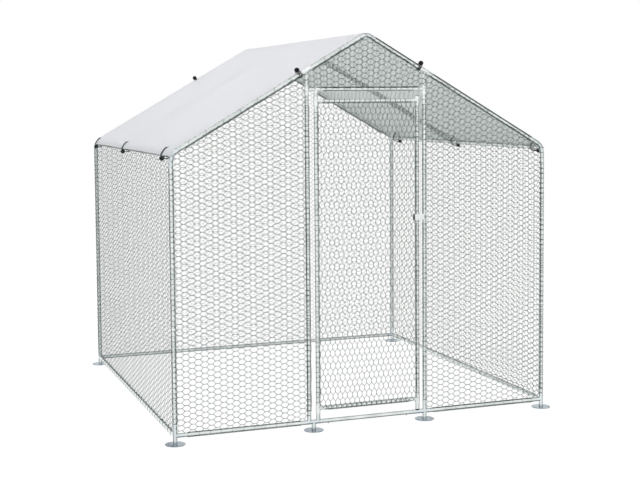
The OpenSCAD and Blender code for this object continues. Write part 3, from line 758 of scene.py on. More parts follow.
@dataclass(frozen=True)
class HexCell:
    """One mesh of twisted netting.

    Attributes:
        column: distance between columns of twists.
        row: distance between the twists of a column.
        twist: length of a twist.
        wire: radius of the wire.
        turns: turns of the two wires in a twist.
        cuts: cuts along a twist.
        sides: sides of a single wire.
    """

    column: float = 0.0310
    row: float = 0.0273
    twist: float = 0.0180
    wire: float = 0.00117
    turns: float = 1.75
    cuts: int = 4
    sides: int = 4


@dataclass
class WireNet:
    """A panel of hexagonal netting that stands for one of the CAD's flat nets.

    Attributes:
        node: the CAD net that it stands for.
        body: the CAD body that it rides on.
        outline: corners of the panel in its own plane, anticlockwise.
        axes: the panel's plane, with z off its outer side.
        cell: size of a mesh.
        upright: whether the twists run along the panel's y.
        slack: how far the wires stray from a straight pattern.
        belly: how far the panel bellies off its plane.
        ridge: the panel's distance off the rafters' axes, where it bends over the ridge and the eave.
        lap: the panel's name where it is a second layer over a net's seam, and stands for no CAD net itself.
        tuck: height from which the panel is drawn in to its lower edge, over a rail's top.
        draw: how far the lower edge is drawn in.
        waves: sizes of the stray's waves, each with its share of the slack.
        swell: size of the belly's waves.
        lead: share of a repeat by which the pattern starts before the outline.
    """

    node: str
    body: str
    outline: list[Flat]
    axes: Matrix
    cell: HexCell = field(default_factory=HexCell)
    upright: bool = False
    slack: float = 0.007
    belly: float = 0.002
    ridge: float | None = None
    lap: str = ""
    tuck: float = 0.0
    draw: float = 0.0090
    waves: tuple[Flat, ...] = ((0.05, 1.0), (0.3, 1.4))
    swell: float = 0.25
    lead: float = 0.6

    def _twist(self) -> bpy.types.Object:
        """Models one twist: a flat bar of two wires, turned about its length.

        Returns:
            The twist, along x.
        """
        cell = self.cell
        bpy.ops.mesh.primitive_cylinder_add(
            vertices=4, radius=2 * cell.wire, depth=cell.twist + 2 * cell.wire, end_fill_type="NOTHING",
            rotation=(0, math.pi / 2, 0))
        bar = bpy.context.object
        Bench.settle(bar)
        with Bench.editing(bar) as mesh:
            Bench.select_edges(bar, mesh, lambda a, b: abs(a.x - b.x) > cell.twist / 2)
            bpy.ops.mesh.subdivide(number_cuts=cell.cuts)
            bpy.ops.mesh.select_all(action="SELECT")
            bpy.ops.transform.resize(value=(1, 1, 0.5))
        Bench.apply(bar, "SIMPLE_DEFORM", deform_method="TWIST", deform_axis="X",
                    angle=cell.turns * 2 * math.pi)
        return bar

    def _strand(self, start: Flat, end: Flat) -> bpy.types.Object:
        """Models one single wire between two twists.

        Args:
            start: where the wire leaves a twist.
            end: where it meets the next one.

        Returns:
            The wire.
        """
        run = Vector((end[0] - start[0], end[1] - start[1]))
        bpy.ops.mesh.primitive_cylinder_add(
            vertices=self.cell.sides, radius=self.cell.wire, depth=run.length + self.cell.wire,
            end_fill_type="NOTHING", location=((start[0] + end[0]) / 2, (start[1] + end[1]) / 2, 0),
            rotation=(0, math.pi / 2, math.atan2(run.y, run.x)))
        strand = bpy.context.object
        Bench.settle(strand)
        return strand

    def _repeat(self) -> bpy.types.Object:
        """Models the pattern's repeat: two twists and the four wires that leave them.

        Returns:
            The repeat, in the panel's plane.
        """
        cell, end, half = self.cell, self.cell.twist / 2, self.cell.row / 2
        Bench.clear()
        first = self._twist()
        second = Bench.copy(first, "second_twist")
        second.location = (cell.column, half, 0)
        Bench.settle(second)
        strands = [self._strand((end, 0), (cell.column - end, to)) for to in (half, -half)]
        strands += [self._strand((cell.column + end, half), (2 * cell.column - end, to))
                    for to in (cell.row, 0)]
        repeat = Bench.join([first, second, *strands], self.node + "_wire")
        if self.upright:
            repeat.rotation_euler = (0, 0, math.pi / 2)
            Bench.settle(repeat)
        return repeat

    def _spread(self, net: bpy.types.Object) -> None:
        """Repeats the pattern over the outline's box.

        Args:
            net: the pattern's repeat, which becomes the net.
        """
        steps = (2 * self.cell.column, self.cell.row)
        steps = steps[::-1] if self.upright else steps
        low = [min(p[i] for p in self.outline) for i in (0, 1)]
        high = [max(p[i] for p in self.outline) for i in (0, 1)]
        for i, step in enumerate(steps):
            offset = [0.0, 0.0, 0.0]
            offset[i] = step
            count = math.ceil((high[i] - low[i]) / step) + 2
            Bench.apply(net, "ARRAY", count=count, use_relative_offset=False, use_constant_offset=True,
                        constant_offset_displace=offset)
        net.location = (low[0] - steps[0] * self.lead, low[1] - steps[1] * self.lead, 0)
        Bench.settle(net)

    def _trim(self, net: bpy.types.Object) -> None:
        """Cuts the pattern off along each edge of the outline.

        Args:
            net: the net.
        """
        with Bench.editing(net):
            for i, corner in enumerate(self.outline):
                following = self.outline[(i + 1) % len(self.outline)]
                bpy.ops.mesh.select_all(action="SELECT")
                bpy.ops.mesh.bisect(plane_co=(*corner, 0), clear_outer=True,
                                    plane_no=(following[1] - corner[1], corner[0] - following[0], 0))

    def _loosen(self, net: bpy.types.Object) -> None:
        """Pulls the straight pattern about a little, as hand-stretched netting is.

        Args:
            net: the net.
        """
        for grain, share in self.waves:
            for axis in ("X", "Y"):
                cloud = bpy.data.textures.new(f"{self.node}_{axis}_{grain}", "CLOUDS")
                cloud.noise_scale = grain
                cloud.noise_basis = "ORIGINAL_PERLIN" if axis == "X" else "IMPROVED_PERLIN"
                Bench.apply(net, "DISPLACE", texture=cloud, texture_coords="LOCAL", direction=axis,
                            strength=self.slack * share, mid_level=0.5)
        swell = bpy.data.textures.new(self.node + "_swell", "CLOUDS")
        swell.noise_scale = self.swell
        Bench.apply(net, "DISPLACE", texture=swell, texture_coords="LOCAL", direction="Z",
                    strength=self.belly, mid_level=0.3)

    def _draw_in(self, net: bpy.types.Object) -> None:
        """Draws the panel's lower edge in over its rail.

        Args:
            net: the net.
        """
        low = min(y for _, y in self.outline)
        for vertex in net.data.vertices:
            if vertex.co.y < self.tuck:
                vertex.co.z -= self.draw * min(1.0, (self.tuck - vertex.co.y) / (self.tuck - low)) ** 2

    def build(self) -> None:
        """Models the net in its plane, sets it on its tubes and lets it stand for the CAD net."""
        net = self._repeat()
        self._spread(net)
        self._trim(net)
        self._loosen(net)
        if self.tuck:
            self._draw_in(net)
        if self.ridge is not None:
            for vertex in net.data.vertices:
                vertex.co.yz = RUN.over_bends(vertex.co.y, vertex.co.z, self.ridge)
        Bench.place(net, self.axes)
        Bench.smooth(net)
        net.name = net.data.name = self.lap or self.node + "_wire"
        Finish.WIRE.coat(net)
        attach(net, self.body)
        if not self.lap:
            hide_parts(self.node)
        LOG.info("%s: %d faces", net.name, len(net.data.polygons))


@dataclass
class Netting:
    """All the nets of the run, and the wire that laces them to the tubes.

    Attributes:
        offset: distance of the nets off the tubes' axes.
        over_rail: height of a net's lower edge over its rail's axis.
        tuck_rise: height over that axis from which the net is drawn in.
        sink: how much closer to their tubes the roof nets lie.
        ridge_gap: distance of a roof net's upper edge from the top of the ridge.
        lap_low: distance of a seam's lower end from the eave corner.
        seam: where a roof net's seam starts and ends, behind the middle of the run.
        near: mesh of the front nets and of the seams.
        far: mesh of the side nets and the rear net.
        roof: mesh of the roof nets.
        door: mesh of the door's net.
    """

    offset: float = RUN.tube_r + 0.0010
    over_rail: float = 0.0114
    tuck_rise: float = 0.045
    sink: float = 0.0003
    ridge_gap: float = 0.004
    lap_low: float = 0.01
    seam: Flat = (0.060, 0.190)
    near: HexCell = HexCell()
    far: HexCell = HexCell(wire=0.00103, turns=1.0, cuts=2, sides=3)
    roof: HexCell = HexCell(wire=0.00068, turns=1.0, cuts=2, sides=3)
    door: HexCell = HexCell(row=0.0261, twist=0.0170, wire=0.00106)

    def panels(self) -> list[WireNet]:
        """Lists the nets' panels, from the front round to the roof.

        Returns:
            The panels, in the order in which they are built.
        """
        run, lift, up = RUN, self.offset, (0, 0, 1)
        front = frame_axes((1, 0, 0), up, (0, -1, 0), (0, -run.half_d - lift, 0))
        rear = frame_axes((-1, 0, 0), up, (0, 1, 0), (0, run.half_d + lift, 0))
        eave_z = run.eave_h - run.eave_inset[1]
        low, tuck = run.rail_h + self.over_rail, run.rail_h + self.tuck_rise
        side = [(-run.half_d, low), (run.half_d, low), (run.half_d, eave_z), (-run.half_d, eave_z)]
        made = [
            WireNet("front_net_left", "frame", [(-run.half_w, low), (-run.post_x, low),
                    (-run.post_x, run.post_top), (-run.half_w, run.eave_h)], front, self.near, tuck=tuck),
            WireNet("front_net_right", "frame", [(run.post_x, low), (run.half_w, low),
                    (run.half_w, run.eave_h), (run.post_x, run.post_top)], front, self.near, tuck=tuck),
            WireNet("gable_net", "frame", [(-run.post_x, run.header_z), (run.post_x, run.header_z),
                    (run.post_x, run.post_top), (0, run.apex_h), (-run.post_x, run.post_top)],
                    front, self.near),
            WireNet("door_net", "door", [(run.hinge_x, run.door_bottom), (run.latch_x, run.door_bottom),
                    (run.latch_x, run.door_top), (run.hinge_x, run.door_top)], front, self.door, True),
            WireNet("rear_net", "frame", [(-run.half_w, low), (run.half_w, low),
                    (run.half_w, run.eave_h), (0, run.apex_h), (-run.half_w, run.eave_h)],
                    rear, self.far, tuck=tuck),
        ]
        for name, sign in (("left", -1), ("right", 1)):
            wall = frame_axes((0, sign, 0), up, (sign, 0, 0), (sign * (run.half_w + lift), 0, 0))
            made.append(WireNet("side_net_" + name, "frame", side, wall, self.far, slack=0.005, tuck=tuck))
            flat = lift - self.sink
            slope = run.slope_frame(sign) @ Matrix.Translation((0, 0, flat))
            top = run.layer(flat) - self.ridge_gap
            made.append(WireNet("roof_net_" + name, "frame", [(-run.half_d, 0), (run.half_d, 0),
                        (run.half_d, top), (-run.half_d, top)], slope, self.roof, belly=-0.001, ridge=flat))
            start, end = sorted((sign * self.seam[0], sign * self.seam[1]))
            strip = [(start, self.lap_low), (end, self.lap_low), (end, top), (start, top)]
            made.append(WireNet("roof_net_" + name, "frame", strip, slope, self.near, slack=0.009,
                                belly=-0.001, ridge=flat, lap="roof_lap_" + name))
        return made

    def build(self) -> None:
        """Builds every panel and its lacing."""
        for panel in self.panels():
            panel.build()
        Lacing().build()


@dataclass(frozen=True)
class Winding:
    """How a wire is wound round a tube.

    Attributes:
        step: distance between turns.
        wire: radius of the wire.
        lean: slant of a turn, in degrees.
        laps: width of a turn along the tube, in wires.
    """

    step: float
    wire: float
    lean: float
    laps: float = 1.0


@dataclass
class Lacing:
    """Wire turns that hold the nets' edges to the tubes.

    Attributes:
        post: winding on the upright tubes.
        rail: winding on the level tubes of the frame.
        rafter: winding on the sloping tubes.
        bar: winding on the door's bars.
        tie: winding of the brighter ties on the upright tubes.
        edge: twist of the two wires along a net's edge.
        shade_brim: the heavier twist of the edges along the rafters and the header, a real net edge drawn
            heavier and darker as painted shade under and over those tubes.
        stray: how far an edge strays from a straight line.
        wave: size of the waves in which it strays.
        cut: length of an edge between two cuts.
        bite: height of a turn's middle over the tube, in radii of the wire.
    """

    post: Winding = Winding(0.0250, 0.0015, 9.0)
    rail: Winding = Winding(0.0560, 0.0009, 14.0)
    rafter: Winding = Winding(0.0980, 0.0014, 24.0)
    bar: Winding = Winding(0.0262, 0.0012, 5.0, 1.6)
    tie: Winding = Winding(0.1450, 0.0014, 0.0, 1.3)
    edge: Winding = Winding(0.0340, 0.0008, 0.0)
    shade_brim: Winding = Winding(0.0420, 0.0013, 0.0)
    stray: float = 0.0050
    wave: float = 0.06
    cut: float = 0.007
    bite: float = 0.6

    def _turn(self, winding: Winding) -> bpy.types.Object:
        """Models one turn of wire round a tube that stands along z.

        Args:
            winding: how the wire is wound.

        Returns:
            The turn.
        """
        lean = math.radians(winding.lean)
        Bench.clear()
        bpy.ops.mesh.primitive_torus_add(major_radius=RUN.tube_r + self.bite * winding.wire,
                                         minor_radius=winding.wire, major_segments=12, minor_segments=3)
        turn = bpy.context.object
        turn.scale = (1.0, 1.0, winding.laps)
        turn.rotation_euler = (lean, 0, 0)
        Bench.settle(turn)
        with Bench.editing(turn):
            bpy.ops.transform.resize(value=(1.0, 1.0 / math.cos(lean), 1.0))
        return turn

    @staticmethod
    def _stand(item: bpy.types.Object, run: Vector, origin: Vector) -> None:
        """Turns an object's z along a direction and moves its origin to a point.

        Args:
            item: the object.
            run: the direction.
            origin: the point.
        """
        axes = run.to_track_quat("Z", "Y").to_matrix().to_4x4()
        axes.translation = origin
        Bench.place(item, axes)

    def _row(self, start: Point, end: Point, winding: Winding) -> bpy.types.Object:
        """Repeats a turn along a tube.

        Args:
            start: a point on the tube's axis.
            end: another point on its axis.
            winding: how the wire is wound.

        Returns:
            The row of turns.
        """
        run = Vector(end) - Vector(start)
        count = max(1, int(run.length / winding.step))
        row = self._turn(winding)
        Bench.apply(row, "ARRAY", count=count, use_relative_offset=False, use_constant_offset=True,
                    constant_offset_displace=(0, 0, run.length / count))
        self._stand(row, run, Vector(start))
        return row

    @staticmethod
    def _upright(x: float, y: float, low: float, high: float) -> Span:
        """Two points over each other."""
        return (x, y, low), (x, y, high)

    @staticmethod
    def _across(start: float, end: float, y: float, z: float) -> Span:
        """Two level points across the run."""
        return (start, y, z), (end, y, z)

    @staticmethod
    def _along(x: float, z: float, reach: float) -> Span:
        """Two level points along the run, as far before its middle as behind it."""
        return (x, -reach, z), (x, reach, z)

    def _tubes(self) -> dict[str, list[Span]]:
        """Lists the stretches of tube that carry net edges, clear of the fittings.

        Returns:
            Pairs of points on the tubes' axes, by body.
        """
        run, sides, front, low = RUN, (-1, 1), -RUN.half_d, RUN.rail_h
        foot, corner, base, arm = 0.10, 0.94, 0.38, 0.10
        below_eave, below_header, below_apex = 0.07, 0.03, 0.06
        header, stile_gap, bar_gap = (-0.22, 0.24), 0.03, 0.04
        corners = [(sx * run.half_w, sy * run.half_d) for sx in sides for sy in sides]
        eave_x, eave_z = run.half_w - run.eave_inset[0], run.eave_h - run.eave_inset[1]
        tubes = [self._upright(x, y, foot, run.eave_h - below_eave) for x, y in corners]
        tubes += [self._upright(sx * run.post_x, front, foot, run.header_z - below_header) for sx in sides]
        tubes += [self._across(sx * corner, sx * base, front, low) for sx in sides]
        tubes.append(self._across(-corner, corner, run.half_d, low))
        level = ((run.half_w, low), (eave_x, eave_z))
        tubes += [self._along(sx * x, z, corner) for x, z in level for sx in sides]
        for x, y in corners:
            up = Vector((-math.copysign(math.cos(run.pitch), x), 0, math.sin(run.pitch)))
            eave = Vector((x, y, run.eave_h))
            tubes.append((tuple(eave + up * arm), tuple(eave + up * (run.slope - below_apex))))
        tubes.append(self._across(*header, front, run.header_z))
        door = [self._upright(x, front, run.door_bottom + stile_gap, run.door_top - stile_gap)
                for x in (run.hinge_x, run.latch_x)]
        door += [self._across(run.hinge_x + bar_gap, run.latch_x - bar_gap, front, z)
                 for z in (run.door_bottom, run.door_top)]
        return {"frame": tubes, "door": door}

    def _selvedge(self, start: Point, end: Point, twist: Winding) -> bpy.types.Object:
        """Models the two wires that are twisted together along a net's edge.

        Args:
            start: one end of the edge.
            end: its other end.
            twist: how the two wires are twisted.

        Returns:
            The twisted edge.
        """
        run = Vector(end) - Vector(start)
        Bench.clear()
        bpy.ops.mesh.primitive_cylinder_add(vertices=4, radius=2 * twist.wire, depth=run.length)
        strand = bpy.context.object
        with Bench.editing(strand) as mesh:
            Bench.select_edges(strand, mesh, lambda a, b: abs(a.z - b.z) > run.length / 2)
            bpy.ops.mesh.subdivide(number_cuts=int(run.length / self.cut))
            bpy.ops.mesh.select_all(action="SELECT")
            bpy.ops.transform.resize(value=(1, 0.5, 1))
        Bench.apply(strand, "SIMPLE_DEFORM", deform_method="TWIST", deform_axis="Z",
                    angle=2 * math.pi * run.length / twist.step)
        cloud = bpy.data.textures.new("selvedge_stray", "CLOUDS")
        cloud.noise_scale = self.wave
        Bench.apply(strand, "DISPLACE", texture=cloud, texture_coords="LOCAL", direction="X",
                    strength=self.stray, mid_level=0.5)
        self._stand(strand, run, (Vector(start) + Vector(end)) / 2)
        return strand

    def _edges(self) -> dict[str, list[Span]]:
        """Lists the nets' edges that show beside the tubes.

        Returns:
            Pairs of points on the edges' middle lines, by body.
        """
        run, sides, foot, ends = RUN, (-1, 1), 0.10, (0.94, 0.36)
        beside, plane, over = 0.0096, -RUN.half_d - 0.0090, -RUN.half_d - 0.0035
        below_bend, below_eave, stile_gap, bar_gap = 0.08, 0.06, 0.04, 0.05
        corner, outer = run.half_w - beside, (-run.half_w - 0.0112, -run.half_d - 0.0030)
        rail_low, rail_top = run.rail_h - beside, run.rail_h + Netting.over_rail + 0.0006
        posts = (-run.post_x - beside, -run.post_x + beside, run.post_x - beside)
        edges = [self._upright(x, plane, foot, run.header_z - below_bend) for x in posts]
        edges += [self._upright(sx * corner, plane, foot, run.eave_h - below_bend) for sx in sides]
        edges += [self._across(sx * ends[0], sx * ends[1], plane, rail_low) for sx in sides]
        edges.append(self._upright(*outer, foot, run.eave_h - below_eave))
        edges += [self._across(sx * ends[0], sx * ends[1], over, rail_top) for sx in sides]
        edges += [self._along(sx * (run.half_w + 0.0035), rail_top, ends[0]) for sx in sides]
        low, high, hasp = run.door_bottom + stile_gap, run.door_top - stile_gap, (1.020, 1.080)
        latch = run.latch_x - beside
        door = [self._upright(run.hinge_x + beside, plane, low, high),
                self._upright(latch, plane, low, hasp[0]), self._upright(latch, plane, hasp[1], high),
                self._across(run.hinge_x + bar_gap, run.latch_x - bar_gap, plane, run.door_bottom - beside)]
        return {"frame": edges, "door": door}

    def _shade_brims(self) -> list[Span]:
        """Lists the heavier edges along the rafters and the header: real net edges, drawn dark and heavy as
        painted shade along those tubes.

        Returns:
            Pairs of points on the edges' middle lines.
        """
        run, sides, tee = RUN, (-1, 1), RUN.post_x
        front, rear, eave, apex = -run.half_d - 0.0105, run.half_d, 0.93, 0.020
        # under the rafters, under the rear ones and over the right front one, where the dark edge also
        # stands in for shade
        under, rear_under, over = -0.0100, -0.0130, 0.0095
        below_tee, above_tee, over_tee, over_apex = 0.032, 0.030, 0.050, 0.050
        header_start, header_end, header_in, header_up = 0.055, 0.035, 0.0015, 0.0100

        def slanting(start: float, end: float, y: float, off: float) -> Span:
            """Two points along a rafter, off the roof by a distance."""
            rise, lift = math.tan(run.pitch), off / math.cos(run.pitch)
            return tuple((x, y, run.apex_h - abs(x) * rise + lift) for x in (start, end))

        shade_brims = [slanting(sx * eave, sx * (tee + below_tee), front, under) for sx in sides]
        shade_brims += [slanting(sx * (tee - above_tee), sx * apex, front, under) for sx in sides]
        shade_brims += [slanting(sx * eave, sx * apex, rear, rear_under) for sx in sides]
        shade_brims.append(slanting(eave, tee + over_tee, front, over))
        shade_brims.append(slanting(tee - above_tee, over_apex, front, over))
        shade_brims.append(self._across(-tee + header_start, tee - header_end, front + header_in,
                                  run.header_z + header_up))
        return shade_brims

    def _winding(self, body: str, start: Point, end: Point) -> Winding:
        """Chooses the winding of a tube.

        Args:
            body: the body that the tube belongs to.
            start: a point on the tube's axis.
            end: another point on its axis.

        Returns:
            The winding.
        """
        if start[2] == end[2]:
            return self.bar if body == "door" else self.rail
        return self.post if start[0] == end[0] else self.rafter

    def build(self) -> None:
        """Laces the nets of each body, with a bright tie every few turns on the upright tubes."""
        for body, tubes in self._tubes().items():
            rows = [self._row(a, b, self._winding(body, a, b)) for a, b in tubes]
            rows += [self._selvedge(a, b, self.edge) for a, b in self._edges()[body]]
            if body == "frame":
                # heavier dark edges along the rafters and the header: partly net edge, partly painted shade
                rows += [self._selvedge(a, b, self.shade_brim) for a, b in self._shade_brims()]
            self._finish(Bench.join(rows, body + "_lacing"), body, Finish.WIRE)
            ties = [self._row(a, b, self.tie) for a, b in tubes if self._winding(body, a, b) is self.post]
            self._finish(Bench.join(ties, body + "_ties"), body, Finish.TIE)

    def _finish(self, item: bpy.types.Object, body: str, finish: Finish) -> None:
        """Shades, coats and seats joined rows of wire.

        Args:
            item: the joined rows.
            body: the body that they ride on.
            finish: their finish.
        """
        Bench.smooth(item)
        finish.coat(item)
        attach(item, body)
        LOG.info("%s: %d faces", item.name, len(item.data.polygons))


@dataclass
class RoofSheet:
    """The pale sheet over both slopes, with a doubled hem and a round fold over the ridge.

    Attributes:
        across: cells across both slopes.
        along: cells along the ridge.
        hem: width of the hem.
        film: thickness of the sheet.
        ripple: height of the slow ripples.
        reach: length of sheet past the eave corner.
        skirt: length of sheet that lies round the eave.
        dip: how far a loop pulls the edge down.
        rows: rows of cells in the skirt.
        fade: distance from an edge over which the ripples fade.
        pull: distance along the edge that a loop pulls down.
        swells: slow ripples: height, waves along, waves down and start.
        creases: fine ripples: height, waves along, waves down, and waves down of their swelling.
        rise: mean height of the ripples.
        slow: share of the slow ripples.
        calm: how much of all this is left in a sheet that is held stretched.
    """

    across: int = 130
    along: int = 90
    hem: float = 0.030
    film: float = 0.0006
    ripple: float = 0.0025
    reach: float = 0.0110
    skirt: float = 0.0540
    dip: float = 0.0040
    rows: int = 10
    fade: float = 0.15
    pull: float = 0.16
    swells: tuple[tuple[float, ...], ...] = ((1.0, 3.1, 1.7, 0.0), (0.6, -2.3, 5.3, 1.0))
    creases: tuple[float, ...] = (0.35, 13.0, 4.0, 9.0)
    rise: float = 0.8
    slow: float = 0.5
    calm: float = 0.6

    @property
    def off(self) -> float:
        """Distance of the sheet's middle off the rafters' axes."""
        return RUN.sheet_low + RUN.sheet_t / 2

    @property
    def half(self) -> float:
        """Length of one slope of the sheet, from the ridge down."""
        return RUN.layer(self.off) + self.reach

    @property
    def length(self) -> float:
        """Length of the sheet along the ridge."""
        return 2 * (RUN.half_d + RUN.sheet_end)

    def _height(self, along: float, down: float) -> float:
        """How far the sheet stands off its plane at a point.

        Args:
            along: distance from the middle towards the back.
            down: distance from the ridge down the slope.

        Returns:
            The height, which is 0 along the edges and the ridge.
        """
        margin = min(self.half - self.skirt - down, self.length / 2 - abs(along), down)
        edge = min(1.0, margin / self.fade)
        slow = sum(high * math.sin(to_back * along + to_eave * down + start)
                   for high, to_back, to_eave, start in self.swells)
        high, to_back, to_eave, swelling = self.creases
        fine = high * math.sin(to_back * along + to_eave * down) * math.sin(swelling * down)
        return self.ripple * max(0.0, edge) * (self.rise + self.slow * slow + fine) * self.calm

    def _down(self, share: float) -> float:
        """Distance down the slope of a row of the grid, with closer rows in the skirt.

        Args:
            share: the row's place in the even grid, from 0 at the ridge to 1 at the edge.

        Returns:
            The distance from the ridge, along the sheet.
        """
        row, last = share * self.across / 2, self.across / 2 - self.rows
        slope = self.half - self.skirt
        return slope * row / last if row < last else slope + self.skirt * (row - last) / self.rows

    def _pull(self, along: float, places: Sequence[float]) -> float:
        """How strongly loops at some places pull the edge down at a point along it, from 0 to 1."""
        return max(math.exp(-((along - place) / self.pull) ** 2) for place in places)

    def _lay(self, sheet: bpy.types.Object) -> None:
        """Folds the flat grid over the ridge and the eaves and lets it ripple.

        Args:
            sheet: the flat grid.
        """
        off, brink = self.off, self.half - self.skirt
        hem = sheet.vertex_groups.new(name="hem")
        for vertex in sheet.data.vertices:
            side = -1 if vertex.co.x < 0 else 1
            down, along = self._down(abs(vertex.co.x) / self.half), vertex.co.y
            if min(self.half - down, self.length / 2 - abs(along)) < self.hem:
                hem.add([vertex.index], 1.0, "REPLACE")
            pull = self._pull(along, BallLoops.left if side < 0 else BallLoops.right)
            drawn = down + self.dip * pull * max(0.0, down - brink) / self.skirt
            up, lift = RUN.over_bends(RUN.layer(off) - drawn, self._height(along, down), off)
            vertex.co = RUN.slope_frame(side) @ Vector((side * along, up, off + lift))

    def build(self) -> None:
        """Models the sheet and lets it stand for the CAD sheet."""
        Bench.clear()
        bpy.ops.mesh.primitive_grid_add(x_subdivisions=self.across, y_subdivisions=self.along, size=1.0)
        sheet = bpy.context.object
        sheet.scale = (2 * self.half, self.length, 1.0)
        Bench.settle(sheet)
        self._lay(sheet)
        Bench.apply(sheet, "SOLIDIFY", thickness=2 * self.film, offset=0.0, vertex_group="hem",
                    thickness_vertex_group=0.5)
        Bench.smooth(sheet, angle=50)
        sheet.name = sheet.data.name = "roof_sheet_cloth"
        Finish.SHEET.coat(sheet)
        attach(sheet, "frame")
        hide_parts("roof_sheet")
        2 * self.half
        LOG.info("%s: %.3f by %.3f m", sheet.name, 2 * self.half, self.length)


@dataclass(frozen=True)
class LoopRoute:
    """Route of an elastic loop in its plane: straight runs from the ball and back to it, with round bends.

    Attributes:
        ball: centre of the ball.
        corners: where two runs would meet, and the radius of the bend there.
        eyelet: centre of the eyelet that the cord goes through.
    """

    ball: Flat
    corners: tuple[Point, ...]
    eyelet: Flat

    def points(self, step: float) -> list[Vector]:
        """The route as closely spaced points, from the ball's centre back to it.

        Args:
            step: distance between two points.

        Returns:
            The points, in the loop's plane.
        """
        ball = Vector(self.ball)
        marks = [ball, *(Vector(corner[:2]) for corner in self.corners), ball]
        points = [ball]

        def straight(end: Vector) -> None:
            """Goes straight on to a point.

            Args:
                end: the point.
            """
            start = points[-1]
            count = max(1, round((end - start).length / step))
            points.extend(start.lerp(end, k / count) for k in range(1, count + 1))

        for before, corner, after, (_, _, bend) in zip(marks, marks[1:], marks[2:], self.corners):
            come, go = corner - before, after - corner
            heading = math.atan2(come.y, come.x)
            turn = (math.atan2(go.y, go.x) - heading + math.pi) % (2 * math.pi) - math.pi
            arm = math.copysign(bend, turn)
            straight(corner - come.normalized() * bend * math.tan(abs(turn) / 2))
            centre = points[-1] + arm * Vector((-math.sin(heading), math.cos(heading)))
            count = max(2, round(abs(turn) * bend / step))
            for k in range(1, count + 1):
                now = heading + turn * k / count
                points.append(centre + arm * Vector((math.sin(now), -math.cos(now))))
        straight(ball)
        return points


# Routes from the axis of the tube that the loop goes round: x down the slope or inwards, y off the roof
EAVE_ROUTE = LoopRoute(
    (0.0226, -0.0082),
    ((0.0182, 0.0094, 0.0090), (-0.0035, 0.0211, 0.0400), (-0.0266, 0.0287, 0.0086),
     (-0.0363, -0.0060, 0.0140), (-0.0215, -0.0250, 0.0140), (0.0010, -0.0232, 0.0180)),
    (-0.0274, 0.0226))
GABLE_ROUTE = LoopRoute(
    (0.0034, 0.0268),
    ((-0.0139, 0.0205, 0.0100), (-0.0149, -0.0083, 0.0146), (0.0021, -0.0180, 0.0146),
     (0.0388, 0.0164, 0.0086)),
    (0.0311, 0.0133))


